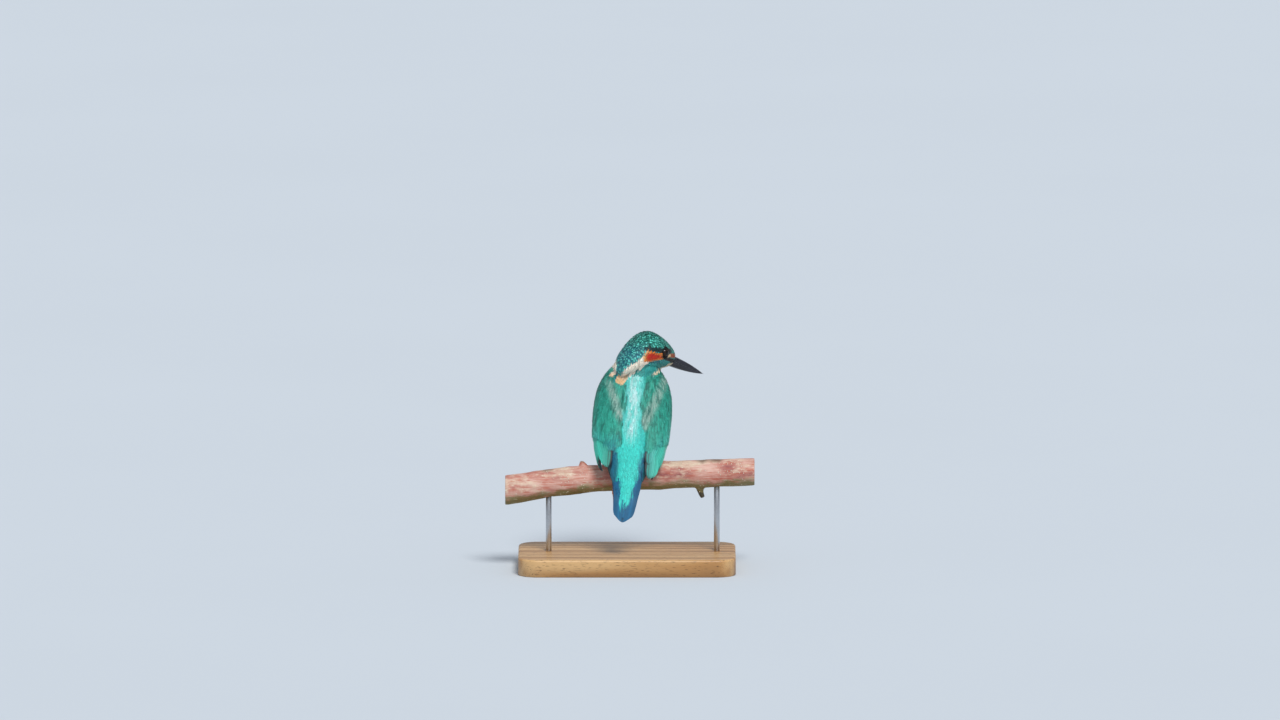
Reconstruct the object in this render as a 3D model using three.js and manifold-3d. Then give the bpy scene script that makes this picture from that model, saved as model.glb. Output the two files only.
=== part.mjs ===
// A kingfisher, life size, perched on a cut length of branch that stands on a plain display stand.
// Millimetres, +Z up. The bird faces -Y and its left side is +X. The origin is the middle of the
// base's underside. The perch runs along X and the bird looks over its own right shoulder.
import * as THREE from "three";
import { mergeVertices } from "three/addons/utils/BufferGeometryUtils.js";
import Module from "manifold-3d";

const wasm = await Module();
wasm.setup();

// ---- Driving dimensions ----
const GAP = 0.3; // air left between neighbouring solids
const FINEST = 0.04; // detail under this is dropped from a finished solid
const PERCH_HEIGHT = 64; // the perch's axis above the floor, under the bird
const BODY_LEAN = 5; // degrees that the upright bird leans towards its right
const HEAD_TURN = 57; // degrees that the head turns to the bird's right
const HEAD_DROP = 24; // degrees that the bill points below level
const EYE_RADIUS = 3.7;
const BILL_LENGTH = 34; // from the root hidden in the face to the tip
const TAIL_LENGTH = 36;
const BASE_SIZE = { length: 150, width: 88, height: 12, corner: 14, bevel: 1.6 };
const ROD_RADIUS = 2;
const ROD_PLACES = { left: 54, right: -62 };
const ROD_SINK = 6; // how far a rod goes into the perch and into the base

const TRUNK_SIDES = 22;
const HEAD_SIDES = 20;
const BLADE_SIDES = 6;

// ---- Materials ----
const finish = (color, roughness, metalness = 0) =>
  new THREE.MeshStandardMaterial({ color, roughness, metalness });
const MATERIALS = {
  crown: finish("#2f9d8f", 0.6),
  mantle: finish("#3bc4b4", 0.6),
  wing: finish("#2c8f83", 0.6),
  tail: finish("#1f6fa8", 0.55),
  foot: finish("#b8452a", 0.5),
  claw: finish("#2a2422", 0.4),
  bill: finish("#17171c", 0.35),
  eye: finish("#120c09", 0.08),
  bark: finish("#a8585a", 0.7),
  oak: finish("#6b4a32", 0.5),
  steel: finish("#9a9c9e", 0.3, 1),
};

// ---- Solids ----
const radians = THREE.MathUtils.degToRad;
const vec = (x, y, z) => new THREE.Vector3(x, y, z);

// A closed geometry as a manifold solid, turned right side out.
function toSolid(geometry) {
  const bare = geometry.index ? geometry.toNonIndexed() : geometry.clone();
  const points = new THREE.BufferGeometry();
  points.setAttribute("position", bare.getAttribute("position"));
  const merged = mergeVertices(points, 1e-4);
  const make = (triVerts) =>
    new wasm.Manifold(
      new wasm.Mesh({
        numProp: 3,
        vertProperties: new Float32Array(merged.attributes.position.array),
        triVerts,
      }),
    );
  const order = new Uint32Array(merged.index.array);
  const made = make(order);
  return made.volume() >= 0 ? made : make(order.slice().reverse());
}

// A skin over rings of points. Each end is closed by a strip that zigzags from the ring's first
// and last points to its middle ones, which also suits a thin curved ring.
function loft(rings) {
  const sides = rings[0].length;
  const corners = [];
  for (let i = 0; i + 1 < rings.length; i++)
    for (let k = 0; k < sides; k++) {
      const next = (k + 1) % sides;
      corners.push(rings[i][k], rings[i][next], rings[i + 1][next]);
      corners.push(rings[i][k], rings[i + 1][next], rings[i + 1][k]);
    }
  const cap = (ring, flip) => {
    const face = (a, b, c) => corners.push(ring[a], ...(flip ? [ring[c], ring[b]] : [ring[b], ring[c]]));
    for (let low = 0, high = sides - 1; high - low > 1; ) {
      face(low, low + 1, high);
      low++;
      if (high - low > 1) face(low, high - 1, high);
      high--;
    }
  };
  cap(rings[0], true);
  cap(rings[rings.length - 1], false);
  return toSolid(new THREE.BufferGeometry().setFromPoints(corners));
}

// The row at t from 0 to 1 along a table of rows, on a smooth curve through them.
function along(rows, t) {
  const at = THREE.MathUtils.clamp(t, 0, 1) * (rows.length - 1);
  const i = Math.min(Math.floor(at), rows.length - 2);
  const u = at - i;
  const row = (k) => rows[THREE.MathUtils.clamp(k, 0, rows.length - 1)];
  return rows[0].map((_, c) => {
    const [a, b, d, e] = [row(i - 1)[c], row(i)[c], row(i + 1)[c], row(i + 2)[c]];
    const slopeIn = (d - a) / 2;
    const slopeOut = (e - b) / 2;
    const u2 = u * u;
    const u3 = u2 * u;
    return (
      (2 * u3 - 3 * u2 + 1) * b + (u3 - 2 * u2 + u) * slopeIn + (3 * u2 - 2 * u3) * d + (u3 - u2) * slopeOut
    );
  });
}

// A point on a rounded oval: angle 0 is straight up the second axis, 90 degrees is the first.
function oval(angle, fullness = 2.25) {
  const round = (v) => Math.sign(v) * Math.abs(v) ** (2 / fullness);
  return [round(Math.sin(angle)), round(Math.cos(angle))];
}

const steps = (count) => Array.from({ length: count + 1 }, (_, i) => i / count);
const turns = (sides) => Array.from({ length: sides }, (_, k) => (2 * Math.PI * k) / sides);

// A tube along points, each with its own radius.
function taperedTube(points, radii, sides = 8) {
  const curve = new THREE.CatmullRomCurve3(points);
  const count = (points.length - 1) * 2;
  const frames = curve.computeFrenetFrames(count, false);
  return loft(
    steps(count).map((t, i) => {
      const centre = curve.getPoint(t);
      const radius = along(radii.map((r) => [r]), t)[0];
      return turns(sides).map((angle) =>
        centre
          .clone()
          .addScaledVector(frames.normals[i], radius * Math.cos(angle))
          .addScaledVector(frames.binormals[i], radius * Math.sin(angle)),
      );
    }),
  );
}

function ball(centre, radius, detail = 12) {
  return toSolid(new THREE.SphereGeometry(radius, detail, detail * 0.75).translate(centre.x, centre.y, centre.z));
}

function rod(radius, from, to, place, sides = 12) {
  const shape = new THREE.CylinderGeometry(radius, radius, to - from, sides);
  return toSolid(shape.rotateX(Math.PI / 2).translate(place.x, place.y, (from + to) / 2));
}

// The largest body of a solid, which drops slivers that a cut leaves behind.
function largest(made) {
  return made.decompose().sort((a, b) => b.volume() - a.volume())[0];
}

const joined = (list) => list.reduce((all, one) => all.add(one));

// ---- Frames ----
// Body frame: side is towards the bird's left, ahead is the way it faces, up is along its lean.
function bodyPoint(side, ahead, up) {
  const lean = radians(BODY_LEAN);
  return vec(
    side * Math.cos(lean) - up * Math.sin(lean),
    -ahead,
    PERCH_HEIGHT + side * Math.sin(lean) + up * Math.cos(lean),
  );
}

// Head frame: out of the middle of the skull, forward along the bill, left and up.
const HEAD_CENTRE = vec(-17.6, -12, PERCH_HEIGHT + 87.7);
const headForward = vec(
  -Math.cos(radians(HEAD_DROP)) * Math.sin(radians(HEAD_TURN)),
  -Math.cos(radians(HEAD_DROP)) * Math.cos(radians(HEAD_TURN)),
  -Math.sin(radians(HEAD_DROP)),
);
const headLeft = vec(Math.cos(radians(HEAD_TURN)), -Math.sin(radians(HEAD_TURN)), 0);
const headUp = headForward.clone().cross(headLeft);

function headPoint(forward, left, up) {
  return HEAD_CENTRE.clone()
    .addScaledVector(headForward, forward)
    .addScaledVector(headLeft, left)
    .addScaledVector(headUp, up);
}

// ---- Trunk ----
// Rows run from the vent to the top of the breast:
// ahead, up, half width, depth to the back, depth to the belly.
const TRUNK_ROWS = [
  [-20.5, -3, 9.5, 4.5, 4.5],
  [-18.6, 3, 12.6, 6.4, 5.2],
  [-14.8, 11, 16, 8.8, 5.2],
  [-10, 19, 19.6, 11, 10],
  [-5, 28, 22.4, 13, 17],
  [-1, 38, 24, 14.2, 20.5],
  [3.5, 48, 24.6, 15, 22],
  [7.5, 57.5, 23.4, 15, 21.5],
  [11, 66, 20.4, 13.5, 18.5],
  [13.5, 73.5, 16, 11.5, 14.5],
  [15.5, 79, 9, 7, 8],
];

// How far a grown form runs past its own end at t, so that it has the same air all round.
const pastEnd = (t, grow) => (t === 0 ? -grow : t === 1 ? grow : 0);

// A point at an angle round the body from the middle of the back, through its left side.
function bodySurface(rows, t, angle, grow = 0) {
  const [ahead, up, halfWidth, back, belly] = along(rows, t);
  const before = along(rows, t - 0.02);
  const after = along(rows, t + 0.02);
  const run = new THREE.Vector2(after[0] - before[0], after[1] - before[1]).normalize();
  const [side, depth] = oval(angle);
  const reach = depth * ((depth > 0 ? back : belly) + grow);
  const past = pastEnd(t, grow);
  return bodyPoint(
    side * (halfWidth + grow),
    ahead - run.y * reach + run.x * past,
    up + run.x * reach + run.y * past,
  );
}

const trunkLoft = (grow = 0) =>
  loft(steps(14).map((t) => turns(TRUNK_SIDES).map((angle) => bodySurface(TRUNK_ROWS, t, angle, grow))));

// ---- Neck ----
// Rows run up from inside the trunk into the head: side, ahead, up, half width, half depth.
const NECK_ROWS = [
  [0, 9, 60, 20.5, 16.5],
  [0, 10, 66, 19.4, 15.8],
  [0, 10.6, 72, 17.4, 14.8],
  [-0.6, 9.4, 77.5, 15.6, 13],
  [-2.6, 9.6, 81, 9.6, 9.6],
  [-3.4, 9.2, 84, 4, 4.5],
];

const neckLoft = (grow = 0) =>
  loft(
    steps(8).map((t) => {
      const [side, ahead, up, halfWidth, halfDepth] = along(NECK_ROWS, t);
      return turns(20).map((angle) => {
        const [x, y] = oval(angle, 2.1);
        return bodyPoint(
          side + x * (halfWidth + grow),
          ahead - y * (halfDepth + grow),
          up + pastEnd(t, grow),
        );
      });
    }),
  );

// Everything over the slanted plane where the neck leaves the trunk.
const NECK_CUT = { ahead: 11, up: 67, tilt: 14, reach: 90 };
function aboveNeckCut(lift) {
  const slab = new THREE.BoxGeometry(NECK_CUT.reach, NECK_CUT.reach, NECK_CUT.reach)
    .translate(0, 0, NECK_CUT.reach / 2 + lift)
    .rotateX(radians(NECK_CUT.tilt))
    .rotateY(-radians(BODY_LEAN));
  const at = bodyPoint(0, NECK_CUT.ahead, NECK_CUT.up);
  return toSolid(slab.translate(at.x, at.y, at.z));
}

// ---- Head ----
// Rows run from the nape to the feather edge round the bill: forward, crown, throat, half width.
const HEAD_ROWS = [
  [-21.4, -17, -22, 3],
  [-20.6, -10, -25.5, 7.4],
  [-17.6, -2, -26, 10.6],
  [-13.8, 5.4, -24, 12.4],
  [-8.5, 10, -20.6, 12.8],
  [-2.4, 10.4, -16.6, 12.4],
  [5, 9, -13.6, 10.8],
  [11, 7, -11, 8.2],
  [15.2, 5, -8.6, 6.2],
  [17.8, 2.6, -6.6, 4.7],
];

const headLoft = (grow = 0) =>
  loft(
    steps(16).map((t) => {
      const [forward, crown, throat, halfWidth] = along(HEAD_ROWS, t);
      const middle = (crown + throat) / 2;
      const halfHeight = (crown - throat) / 2 + grow;
      return turns(HEAD_SIDES).map((angle) => {
        const [x, z] = oval(angle, 2.2);
        return headPoint(forward + pastEnd(t, grow), x * (halfWidth + grow), middle + z * halfHeight);
      });
    }),
  );

// ---- Bill ----
const BILL_ROOT = 13; // where the bill starts, inside the face
const BILL_AXIS = -3.1; // height of the line between the mandibles at the root
const BILL_TIP_RISE = 0.6;
const BILL_DEPTH = 3.9; // of each mandible at the root
const BILL_HALF_WIDTH = 4.3;

// One mandible: side is 1 for the upper and -1 for the lower. A lower bill ends a little short.
function mandible(side, grow = 0) {
  const length = side > 0 ? BILL_LENGTH : BILL_LENGTH - 0.9;
  return loft(
    steps(10).map((t) => {
      const taper = Math.max(0.02, (1 - t ** 2.3) ** 0.9);
      const height = BILL_DEPTH * taper - GAP / 2 + 2 * grow;
      const halfWidth = BILL_HALF_WIDTH * Math.max(0.02, 1 - t ** 1.25) + grow;
      const axis = BILL_AXIS + BILL_TIP_RISE * t + side * (GAP / 2 - grow);
      const arch = steps(8).map((k) => Math.PI * k);
      return arch.map((angle) =>
        headPoint(
          BILL_ROOT + length * t + pastEnd(t, grow),
          -Math.cos(angle) * halfWidth,
          axis + side * Math.abs(Math.sin(angle)) ** 0.85 * height,
        ),
      );
    }),
  );
}

const nostril = (side) =>
  toSolid(
    new THREE.SphereGeometry(1, 8, 6).scale(1.7, 0.8, 0.45).applyMatrix4(
      new THREE.Matrix4().makeBasis(headForward, headLeft, headUp).setPosition(headPoint(21.2, side * 3.4, -0.8)),
    ),
  );

// ---- Eyes ----
const EYE_PLACE = { forward: 4.2, aside: 8.7, up: -0.5 };
const eyeCentre = (side) => headPoint(EYE_PLACE.forward, side * EYE_PLACE.aside, EYE_PLACE.up);

// ---- Wings ----
// The folded wings lie on a shell round the trunk. Rows run from the tips to the shoulders:
// ahead, up, half width, depth to the back, depth to the belly.
const WING_ROWS = [
  [-20, -4, 18.5, 6, 8],
  [-19, 2, 20.6, 7, 8.5],
  [-15.4, 11, 24, 9.8, 10],
  [-10, 19, 26, 12.4, 15],
  [-5, 28, 27, 14.4, 19.4],
  [-1, 38, 27.5, 15.6, 22.5],
  [3.5, 48, 27.4, 16.4, 24],
  [7.5, 57.5, 26, 16.2, 23.2],
  [11, 66, 22.6, 14.4, 20],
  [13.5, 73, 17.6, 12, 15.6],
];
const WING_THICKNESS = 3.2;

// A thin strip of the wing shell: from and to are places along the rows, low and high the angles
// of its edges in degrees at t from 0 at its tip to 1, and sink how deep it lies in the shell.
function wingStrip(side, { from, to, low, high, sink = 0, thick, pieces = 10, across = 6 }) {
  return loft(
    steps(pieces).map((t) => {
      const place = from + (to - from) * t;
      const [a, b] = [low(t), high(t)].map((angle) => radians(angle) * side);
      const outer = steps(across).map((k) => bodySurface(WING_ROWS, place, a + (b - a) * k, -sink));
      const inner = steps(across).map((k) => {
        const edge = Math.sin(Math.PI * k) ** 0.5;
        return bodySurface(WING_ROWS, place, a + (b - a) * k, -sink - 0.5 - (thick(t) - 0.5) * edge);
      });
      return [...outer, ...inner.reverse()];
    }),
  );
}

// A feather blade: narrow at its rounded tip and full from a third of its length.
const bladeWidth = (t) => Math.max(0.12, Math.sqrt(1 - (1 - Math.min(1, t / 0.3)) ** 2));

function feather(side, { tip, root, middle, rootMiddle, halfAngle, sink }) {
  const centre = (t) => middle + (rootMiddle - middle) * t;
  return wingStrip(side, {
    from: tip,
    to: root,
    low: (t) => centre(t) - halfAngle * bladeWidth(t),
    high: (t) => centre(t) + halfAngle * bladeWidth(t),
    sink,
    thick: () => 1,
    pieces: 5,
    across: 3,
  });
}

// Coverts over the arm, then the tertials and secondaries, then the primaries that make the tip.
const COVERTS = { from: 0.4, to: 0.985 };
const PRIMARIES = 3;
const SECONDARIES = 3;
const BACK_EDGE = 17; // degrees from the middle of the back to the wing's upper edge
const BACK_SHIFT = 5; // degrees that the bare back between the wings is set over to the right
const DROOP = { left: 0, right: 0.02 }; // how far each wing hangs down the shell

function wing(side, drop) {
  const edge = BACK_EDGE - side * BACK_SHIFT;
  const coverts = wingStrip(side, {
    ...COVERTS,
    low: (t) => edge + 8 * (1 - t) ** 2 + 22 * t ** 5,
    high: (t) => 112 + 12 * Math.sin(Math.PI * Math.min(1, t * 1.1)) - 26 * t ** 6,
    thick: (t) => 1.2 + WING_THICKNESS * Math.sin(Math.PI * (0.12 + 0.8 * t)),
    pieces: 8,
    across: 7,
  });
  const primaries = Array.from({ length: PRIMARIES }, (_, i) =>
    feather(side, {
      tip: 0.1 + 0.042 * i - drop,
      root: 0.52,
      middle: 59 + 12 * i,
      rootMiddle: 88 + 10 * i,
      halfAngle: 15,
      sink: 1.3 + 0.35 * i,
    }),
  );
  const secondaries = Array.from({ length: SECONDARIES }, (_, i) =>
    feather(side, {
      tip: 0.27 - 0.045 * i - drop,
      root: 0.52,
      middle: edge + 15 + 15 * i,
      rootMiddle: edge + 18 + 28 * i,
      halfAngle: 17,
      sink: 0.35 + 0.3 * i,
    }),
  );
  return joined([coverts, ...primaries, ...secondaries]);
}

// ---- Tail ----
const TAIL_ROOT = { ahead: -17.5, up: 5 };
const TAIL_TILT = 24; // degrees that the tail slopes back from straight down
const TAIL_BEND = 1; // how far the tip is set over to the left
const TAIL_FEATHERS = 6;

function tailFeather(i) {
  const place = i - (TAIL_FEATHERS - 1) / 2; // negative on the bird's right
  const length = TAIL_LENGTH - 0.9 * Math.abs(place) ** 1.6;
  const tilt = radians(TAIL_TILT);
  return loft(
    steps(5).map((t) => {
      const reach = length * (1 - t);
      const middle = place * (3.4 - 2 * (1 - t)) + TAIL_BEND * (1 - t);
      const halfWidth = 3.4 * bladeWidth(t);
      const lift = 1.9 * (1 - (place / 3.4) ** 2) * (0.35 + 0.65 * t);
      const halfThick = 0.55;
      return turns(BLADE_SIDES).map((angle) => {
        const x = middle + halfWidth * Math.sin(angle);
        const y = lift + halfThick * Math.cos(angle) - 0.03 * x * x;
        return bodyPoint(
          x,
          TAIL_ROOT.ahead - reach * Math.sin(tilt) - y * Math.cos(tilt),
          TAIL_ROOT.up - reach * Math.cos(tilt) + y * Math.sin(tilt),
        );
      });
    }),
  );
}

// The long feathers above and below the root of the tail, one rounded wedge.
function tailCoverts() {
  const tilt = radians(TAIL_TILT);
  return loft(
    steps(7).map((t) => {
      const reach = 27 * (1 - t);
      const halfWidth = 10.4 * Math.max(0.16, Math.sin((Math.PI / 2) * Math.min(1, 0.1 + 1.05 * t)) ** 0.9);
      const halfThick = 1.6 + 4.2 * t;
      return turns(14).map((angle) => {
        const [x, y] = oval(angle, 2);
        const lift = 0.6 + y * halfThick;
        return bodyPoint(
          x * halfWidth,
          TAIL_ROOT.ahead - reach * Math.sin(tilt) - lift * Math.cos(tilt),
          TAIL_ROOT.up - reach * Math.cos(tilt) + lift * Math.sin(tilt),
        );
      });
    }),
  );
}

// ---- Perch ----
// Evenly spaced rows run along the branch from the bird's left: height and radius.
const PERCH_ENDS = { left: 84, right: -88 };
const PERCH_ROWS = [
  [-9.6, 10.5],
  [-5.2, 10],
  [-1.9, 9.6],
  [0, 9.6],
  [1.2, 9.9],
  [2.1, 9.6],
  [3, 9.4],
];
const perchAt = (x) => along(PERCH_ROWS, (PERCH_ENDS.left - x) / (PERCH_ENDS.left - PERCH_ENDS.right));
const PERCH_SIDES = 18;

function perchLoft() {
  return loft(
    steps(16).map((t) => {
      const x = PERCH_ENDS.left + (PERCH_ENDS.right - PERCH_ENDS.left) * t;
      const [height, radius] = along(PERCH_ROWS, t);
      const swell = 0.25 * Math.sin(x * 0.21) + 0.18 * Math.sin(x * 0.47 + 1);
      return turns(PERCH_SIDES).map((angle) => {
        const uneven = 0.16 * Math.sin(3 * angle + x * 0.05);
        const r = radius + swell + uneven;
        return vec(x, r * Math.cos(angle), PERCH_HEIGHT + height + r * Math.sin(angle));
      });
    }),
  );
}

// A broken side twig under the branch and a worn bud on top of it.
const twigStub = () =>
  taperedTube(
    [vec(-50, 0, PERCH_HEIGHT - 5), vec(-50.6, 1, PERCH_HEIGHT - 10), vec(-52.4, 1.6, PERCH_HEIGHT - 14.6)],
    [3.4, 2.4, 1.7],
    7,
  );
const budStub = () =>
  taperedTube(
    [vec(30, 0, PERCH_HEIGHT + 3), vec(30.5, 0.4, PERCH_HEIGHT + 8.6), vec(32, 0.6, PERCH_HEIGHT + 10.6)],
    [4.2, 2.7, 1.1],
    7,
  );

// ---- Feet ----
const FOOT_SIDE = 7.2; // each foot's distance from the middle
const GRIP_RADIUS = 11.2; // from the perch's axis to the middle of a toe
const KNEE = { ahead: -2.5, up: 21.5 };
// Side step from the foot's middle, reach in degrees round the perch from its top, and thickness.
const TOES = [
  { name: "inner", step: -1.9, start: -4, end: 46, radius: 0.95 },
  { name: "middle", step: 0, start: -4, end: 62, radius: 1.15 },
  { name: "outer", step: 1.9, start: -4, end: 55, radius: 1 },
  { name: "hind", step: -0.5, start: 2, end: -40, radius: 1 },
];

function gripPoint(x, degrees, radius = GRIP_RADIUS) {
  const angle = radians(degrees);
  return vec(x, -radius * Math.sin(angle), PERCH_HEIGHT + perchAt(x)[0] + radius * Math.cos(angle));
}

const toeX = (side, toe, spread) => side * (FOOT_SIDE + toe.step * (toe.name === "hind" ? 1 : spread));

// The bare shank from the thigh's feathers down to the toes.
function shank(side, grow = 0) {
  const knee = bodyPoint(side * FOOT_SIDE, KNEE.ahead, KNEE.up);
  const heel = gripPoint(side * FOOT_SIDE, -2, GRIP_RADIUS + 0.3);
  const top = knee.clone().addScaledVector(knee.clone().sub(heel).normalize(), grow);
  const radii = [1.9, 1.5, 1.6].map((radius) => radius + 1.15 * grow);
  return taperedTube([top, top.clone().lerp(heel, 0.5), heel], radii, 10);
}

function foot(side) {
  const toes = TOES.map((toe) => {
    const arc = steps(3).map((k) =>
      gripPoint(toeX(side, toe, 0.8 + 0.3 * k), toe.start + (toe.end - toe.start) * k),
    );
    return taperedTube(arc, [1.1, 0.95, 0.9, 0.75].map((share) => share * toe.radius), 6);
  });
  return joined([shank(side), ...toes]);
}

// A claw: a curved cone from just past the toe's end down onto the bark.
function claw(side, toe) {
  const way = Math.sign(toe.end);
  const x = toeX(side, toe, 1.1);
  const degreesOf = (mm) => (mm / GRIP_RADIUS) * (180 / Math.PI) * way;
  return taperedTube(
    [
      gripPoint(x, toe.end + degreesOf(GAP), GRIP_RADIUS + 0.1),
      gripPoint(x, toe.end + degreesOf(1.5), GRIP_RADIUS + 0.15),
      gripPoint(x, toe.end + degreesOf(3), GRIP_RADIUS - 0.55),
    ],
    [0.68, 0.52, 0.26],
    6,
  );
}

// ---- Stand ----
function standBase() {
  const { length, width, height, corner, bevel } = BASE_SIZE;
  const [x, y] = [length / 2 - bevel, width / 2 - bevel];
  const r = corner - bevel;
  const outline = new THREE.Shape()
    .moveTo(-x + r, -y)
    .lineTo(x - r, -y)
    .absarc(x - r, -y + r, r, -Math.PI / 2, 0)
    .lineTo(x, y - r)
    .absarc(x - r, y - r, r, 0, Math.PI / 2)
    .lineTo(-x + r, y)
    .absarc(-x + r, y - r, r, Math.PI / 2, Math.PI)
    .lineTo(-x, -y + r)
    .absarc(-x + r, -y + r, r, Math.PI, 1.5 * Math.PI);
  const slab = new THREE.ExtrudeGeometry(outline, {
    depth: height - 2 * bevel,
    bevelThickness: bevel,
    bevelSize: bevel,
    bevelSegments: 2,
    curveSegments: 4,
  }).translate(0, 0, bevel);
  const holes = Object.values(ROD_PLACES).map((place) =>
    rod(ROD_RADIUS + GAP, height - ROD_SINK - GAP, height + 1, vec(place, 0, 0)),
  );
  return toSolid(slab).subtract(joined(holes));
}

function perchUnder(x) {
  const [height, radius] = perchAt(x);
  return PERCH_HEIGHT + height - radius;
}

// ---- Assembly ----
const group = new THREE.Group();

function addPart(name, solid, material) {
  const { numProp, vertProperties, triVerts } = solid.simplify(FINEST).getMesh();
  const positions = new Float32Array((vertProperties.length / numProp) * 3);
  for (let i = 0; i * numProp < vertProperties.length; i++)
    positions.set(vertProperties.subarray(i * numProp, i * numProp + 3), i * 3);
  const geometry = new THREE.BufferGeometry();
  geometry.setAttribute("position", new THREE.BufferAttribute(positions, 3));
  geometry.setIndex(new THREE.BufferAttribute(new Uint32Array(triVerts), 1));
  geometry.computeVertexNormals();
  const mesh = new THREE.Mesh(geometry, material);
  mesh.name = name;
  group.add(mesh);
}

const SIDES = { left: 1, right: -1 };

const billRoom = mandible(1, GAP).add(mandible(-1, GAP));
const eyeRoom = joined(Object.values(SIDES).map((side) => ball(eyeCentre(side), EYE_RADIUS + GAP)));
const headRoom = headLoft(GAP);
addPart("head", largest(headLoft().subtract(billRoom).subtract(eyeRoom)), MATERIALS.crown);

const nostrils = nostril(1).add(nostril(-1));
addPart("bill_upper", largest(mandible(1).subtract(nostrils)), MATERIALS.bill);
addPart("bill_lower", mandible(-1), MATERIALS.bill);

// Trunk and neck are one form, parted where the neck starts.
const body = trunkLoft().add(neckLoft()).subtract(headRoom);
const legRoom = joined(Object.values(SIDES).map((side) => shank(side, GAP)));
addPart("neck", largest(body.intersect(aboveNeckCut(GAP / 2))), MATERIALS.crown);
addPart("trunk", largest(body.subtract(aboveNeckCut(-GAP / 2)).subtract(legRoom)), MATERIALS.mantle);

const trunkRoom = trunkLoft(GAP);
const neckRoom = neckLoft(GAP);
const tailSolid = joined([tailCoverts(), ...Array.from({ length: TAIL_FEATHERS }, (_, i) => tailFeather(i))]);
addPart("tail", largest(tailSolid.subtract(trunkRoom)), MATERIALS.tail);

const bodyRoom = joined([trunkRoom, neckRoom, headRoom]);
for (const [name, side] of Object.entries(SIDES)) {
  addPart(`eye_${name}`, ball(eyeCentre(side), EYE_RADIUS), MATERIALS.eye);
  const folded = wing(side, DROOP[name]);
  addPart(`wing_${name}`, largest(folded.subtract(bodyRoom).subtract(tailSolid)), MATERIALS.wing);
  addPart(`leg_${name}`, foot(side), MATERIALS.foot);
  for (const toe of TOES) addPart(`claw_${name}_${toe.name}`, claw(side, toe), MATERIALS.claw);
}

const rodHoles = joined(
  Object.values(ROD_PLACES).map((x) =>
    rod(ROD_RADIUS + GAP, perchUnder(x) - ROD_SINK, perchUnder(x) + ROD_SINK + GAP, vec(x, 0, 0)),
  ),
);
addPart("perch", joined([perchLoft(), twigStub(), budStub()]).subtract(rodHoles), MATERIALS.bark);

addPart("stand_base", standBase(), MATERIALS.oak);
for (const [name, x] of Object.entries(ROD_PLACES)) {
  const solid = rod(ROD_RADIUS, BASE_SIZE.height - ROD_SINK, perchUnder(x) + ROD_SINK, vec(x, 0, 0));
  addPart(`stand_rod_${name}`, solid, MATERIALS.steel);
}

export default group;
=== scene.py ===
"""A life-size kingfisher on a cut length of branch, held by a plain oak and steel display stand.

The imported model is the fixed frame. The skin, the plumage, the bill, the eyes, the feet, the branch
and the stand are built over it here. Sizes in the building functions are in millimetres.
"""

import functools
import math

import bmesh
import bpy
import numpy as np
from bpy.props import FloatProperty, FloatVectorProperty, PointerProperty
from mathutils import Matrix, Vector
from mathutils.bvhtree import BVHTree


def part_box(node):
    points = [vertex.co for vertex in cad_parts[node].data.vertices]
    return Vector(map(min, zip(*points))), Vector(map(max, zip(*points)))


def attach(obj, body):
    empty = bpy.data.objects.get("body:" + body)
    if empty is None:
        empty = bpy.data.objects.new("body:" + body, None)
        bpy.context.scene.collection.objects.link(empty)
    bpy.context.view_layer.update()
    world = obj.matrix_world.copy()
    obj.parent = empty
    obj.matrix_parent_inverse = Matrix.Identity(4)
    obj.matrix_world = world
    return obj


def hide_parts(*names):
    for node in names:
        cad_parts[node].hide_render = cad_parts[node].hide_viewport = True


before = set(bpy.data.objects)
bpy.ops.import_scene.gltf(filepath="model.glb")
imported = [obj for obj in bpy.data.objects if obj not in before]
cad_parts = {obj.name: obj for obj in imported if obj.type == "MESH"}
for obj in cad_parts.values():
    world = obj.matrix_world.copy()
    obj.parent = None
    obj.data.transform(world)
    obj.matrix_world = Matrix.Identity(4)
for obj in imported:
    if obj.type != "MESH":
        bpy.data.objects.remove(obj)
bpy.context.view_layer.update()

bl_info = {
    "name": "Kingfisher",
    "version": (1, 0, 0),
    "blender": (4, 5, 0),
    "location": "View3D > Sidebar > Kingfisher",
    "description": "Plumage, bill, eyes, feet, branch and display stand of a life-size kingfisher",
    "category": "Object",
}

MM = 0.001
BODY = "root"
PIECE_LIMIT = 200_000  # triangles in one piece
MIX_A, MIX_B, MIX_OUT = 6, 7, 2  # the colour sockets of a Mix node
MOST_DENSE = 4e6  # plates to the square metre, before their spacing thins them out

SIDES = {"left": 1, "right": -1}
FLESH = ["head", "neck", "trunk", "tail", "wing_left", "wing_right", "leg_left", "leg_right"]
HEAD, NECK, TRUNK, TAIL, WING_LEFT, WING_RIGHT, LEG, EYE, BILL = range(9)
PARTS = dict(zip(FLESH, (HEAD, NECK, TRUNK, TAIL, WING_LEFT, WING_RIGHT, LEG, LEG)))
PARTS.update({"eye_left": EYE, "eye_right": EYE, "bill_upper": BILL, "bill_lower": BILL})
HEAD_PARTS, WING_PARTS = (HEAD, EYE, BILL), (WING_LEFT, WING_RIGHT)


# ---- Colours ----
def linear(code):
    """The linear colour of an sRGB hex code."""
    levels = [int(code[i : i + 2], 16) / 255 for i in (1, 3, 5)]
    return tuple(c / 12.92 if c <= 0.04045 else ((c + 0.055) / 1.055) ** 2.4 for c in levels)


def with_alpha(colour):
    return (*colour[:3], 1.0)


def mix(under, over, share):
    """Colours or places a share from 0 to 1 of the way from under to over, point by point."""
    under = np.asarray(under)
    return under + (np.asarray(over) - under) * np.clip(share, 0, 1)[..., None]


# ---- Arrays ----
def unit(vectors):
    return vectors / np.maximum(np.linalg.norm(vectors, axis=-1, keepdims=True), 1e-12)


def across(vectors, normals):
    """The share of each vector that lies in the surface, at unit length."""
    return unit(vectors - normals * np.sum(vectors * normals, axis=-1, keepdims=True))


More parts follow.
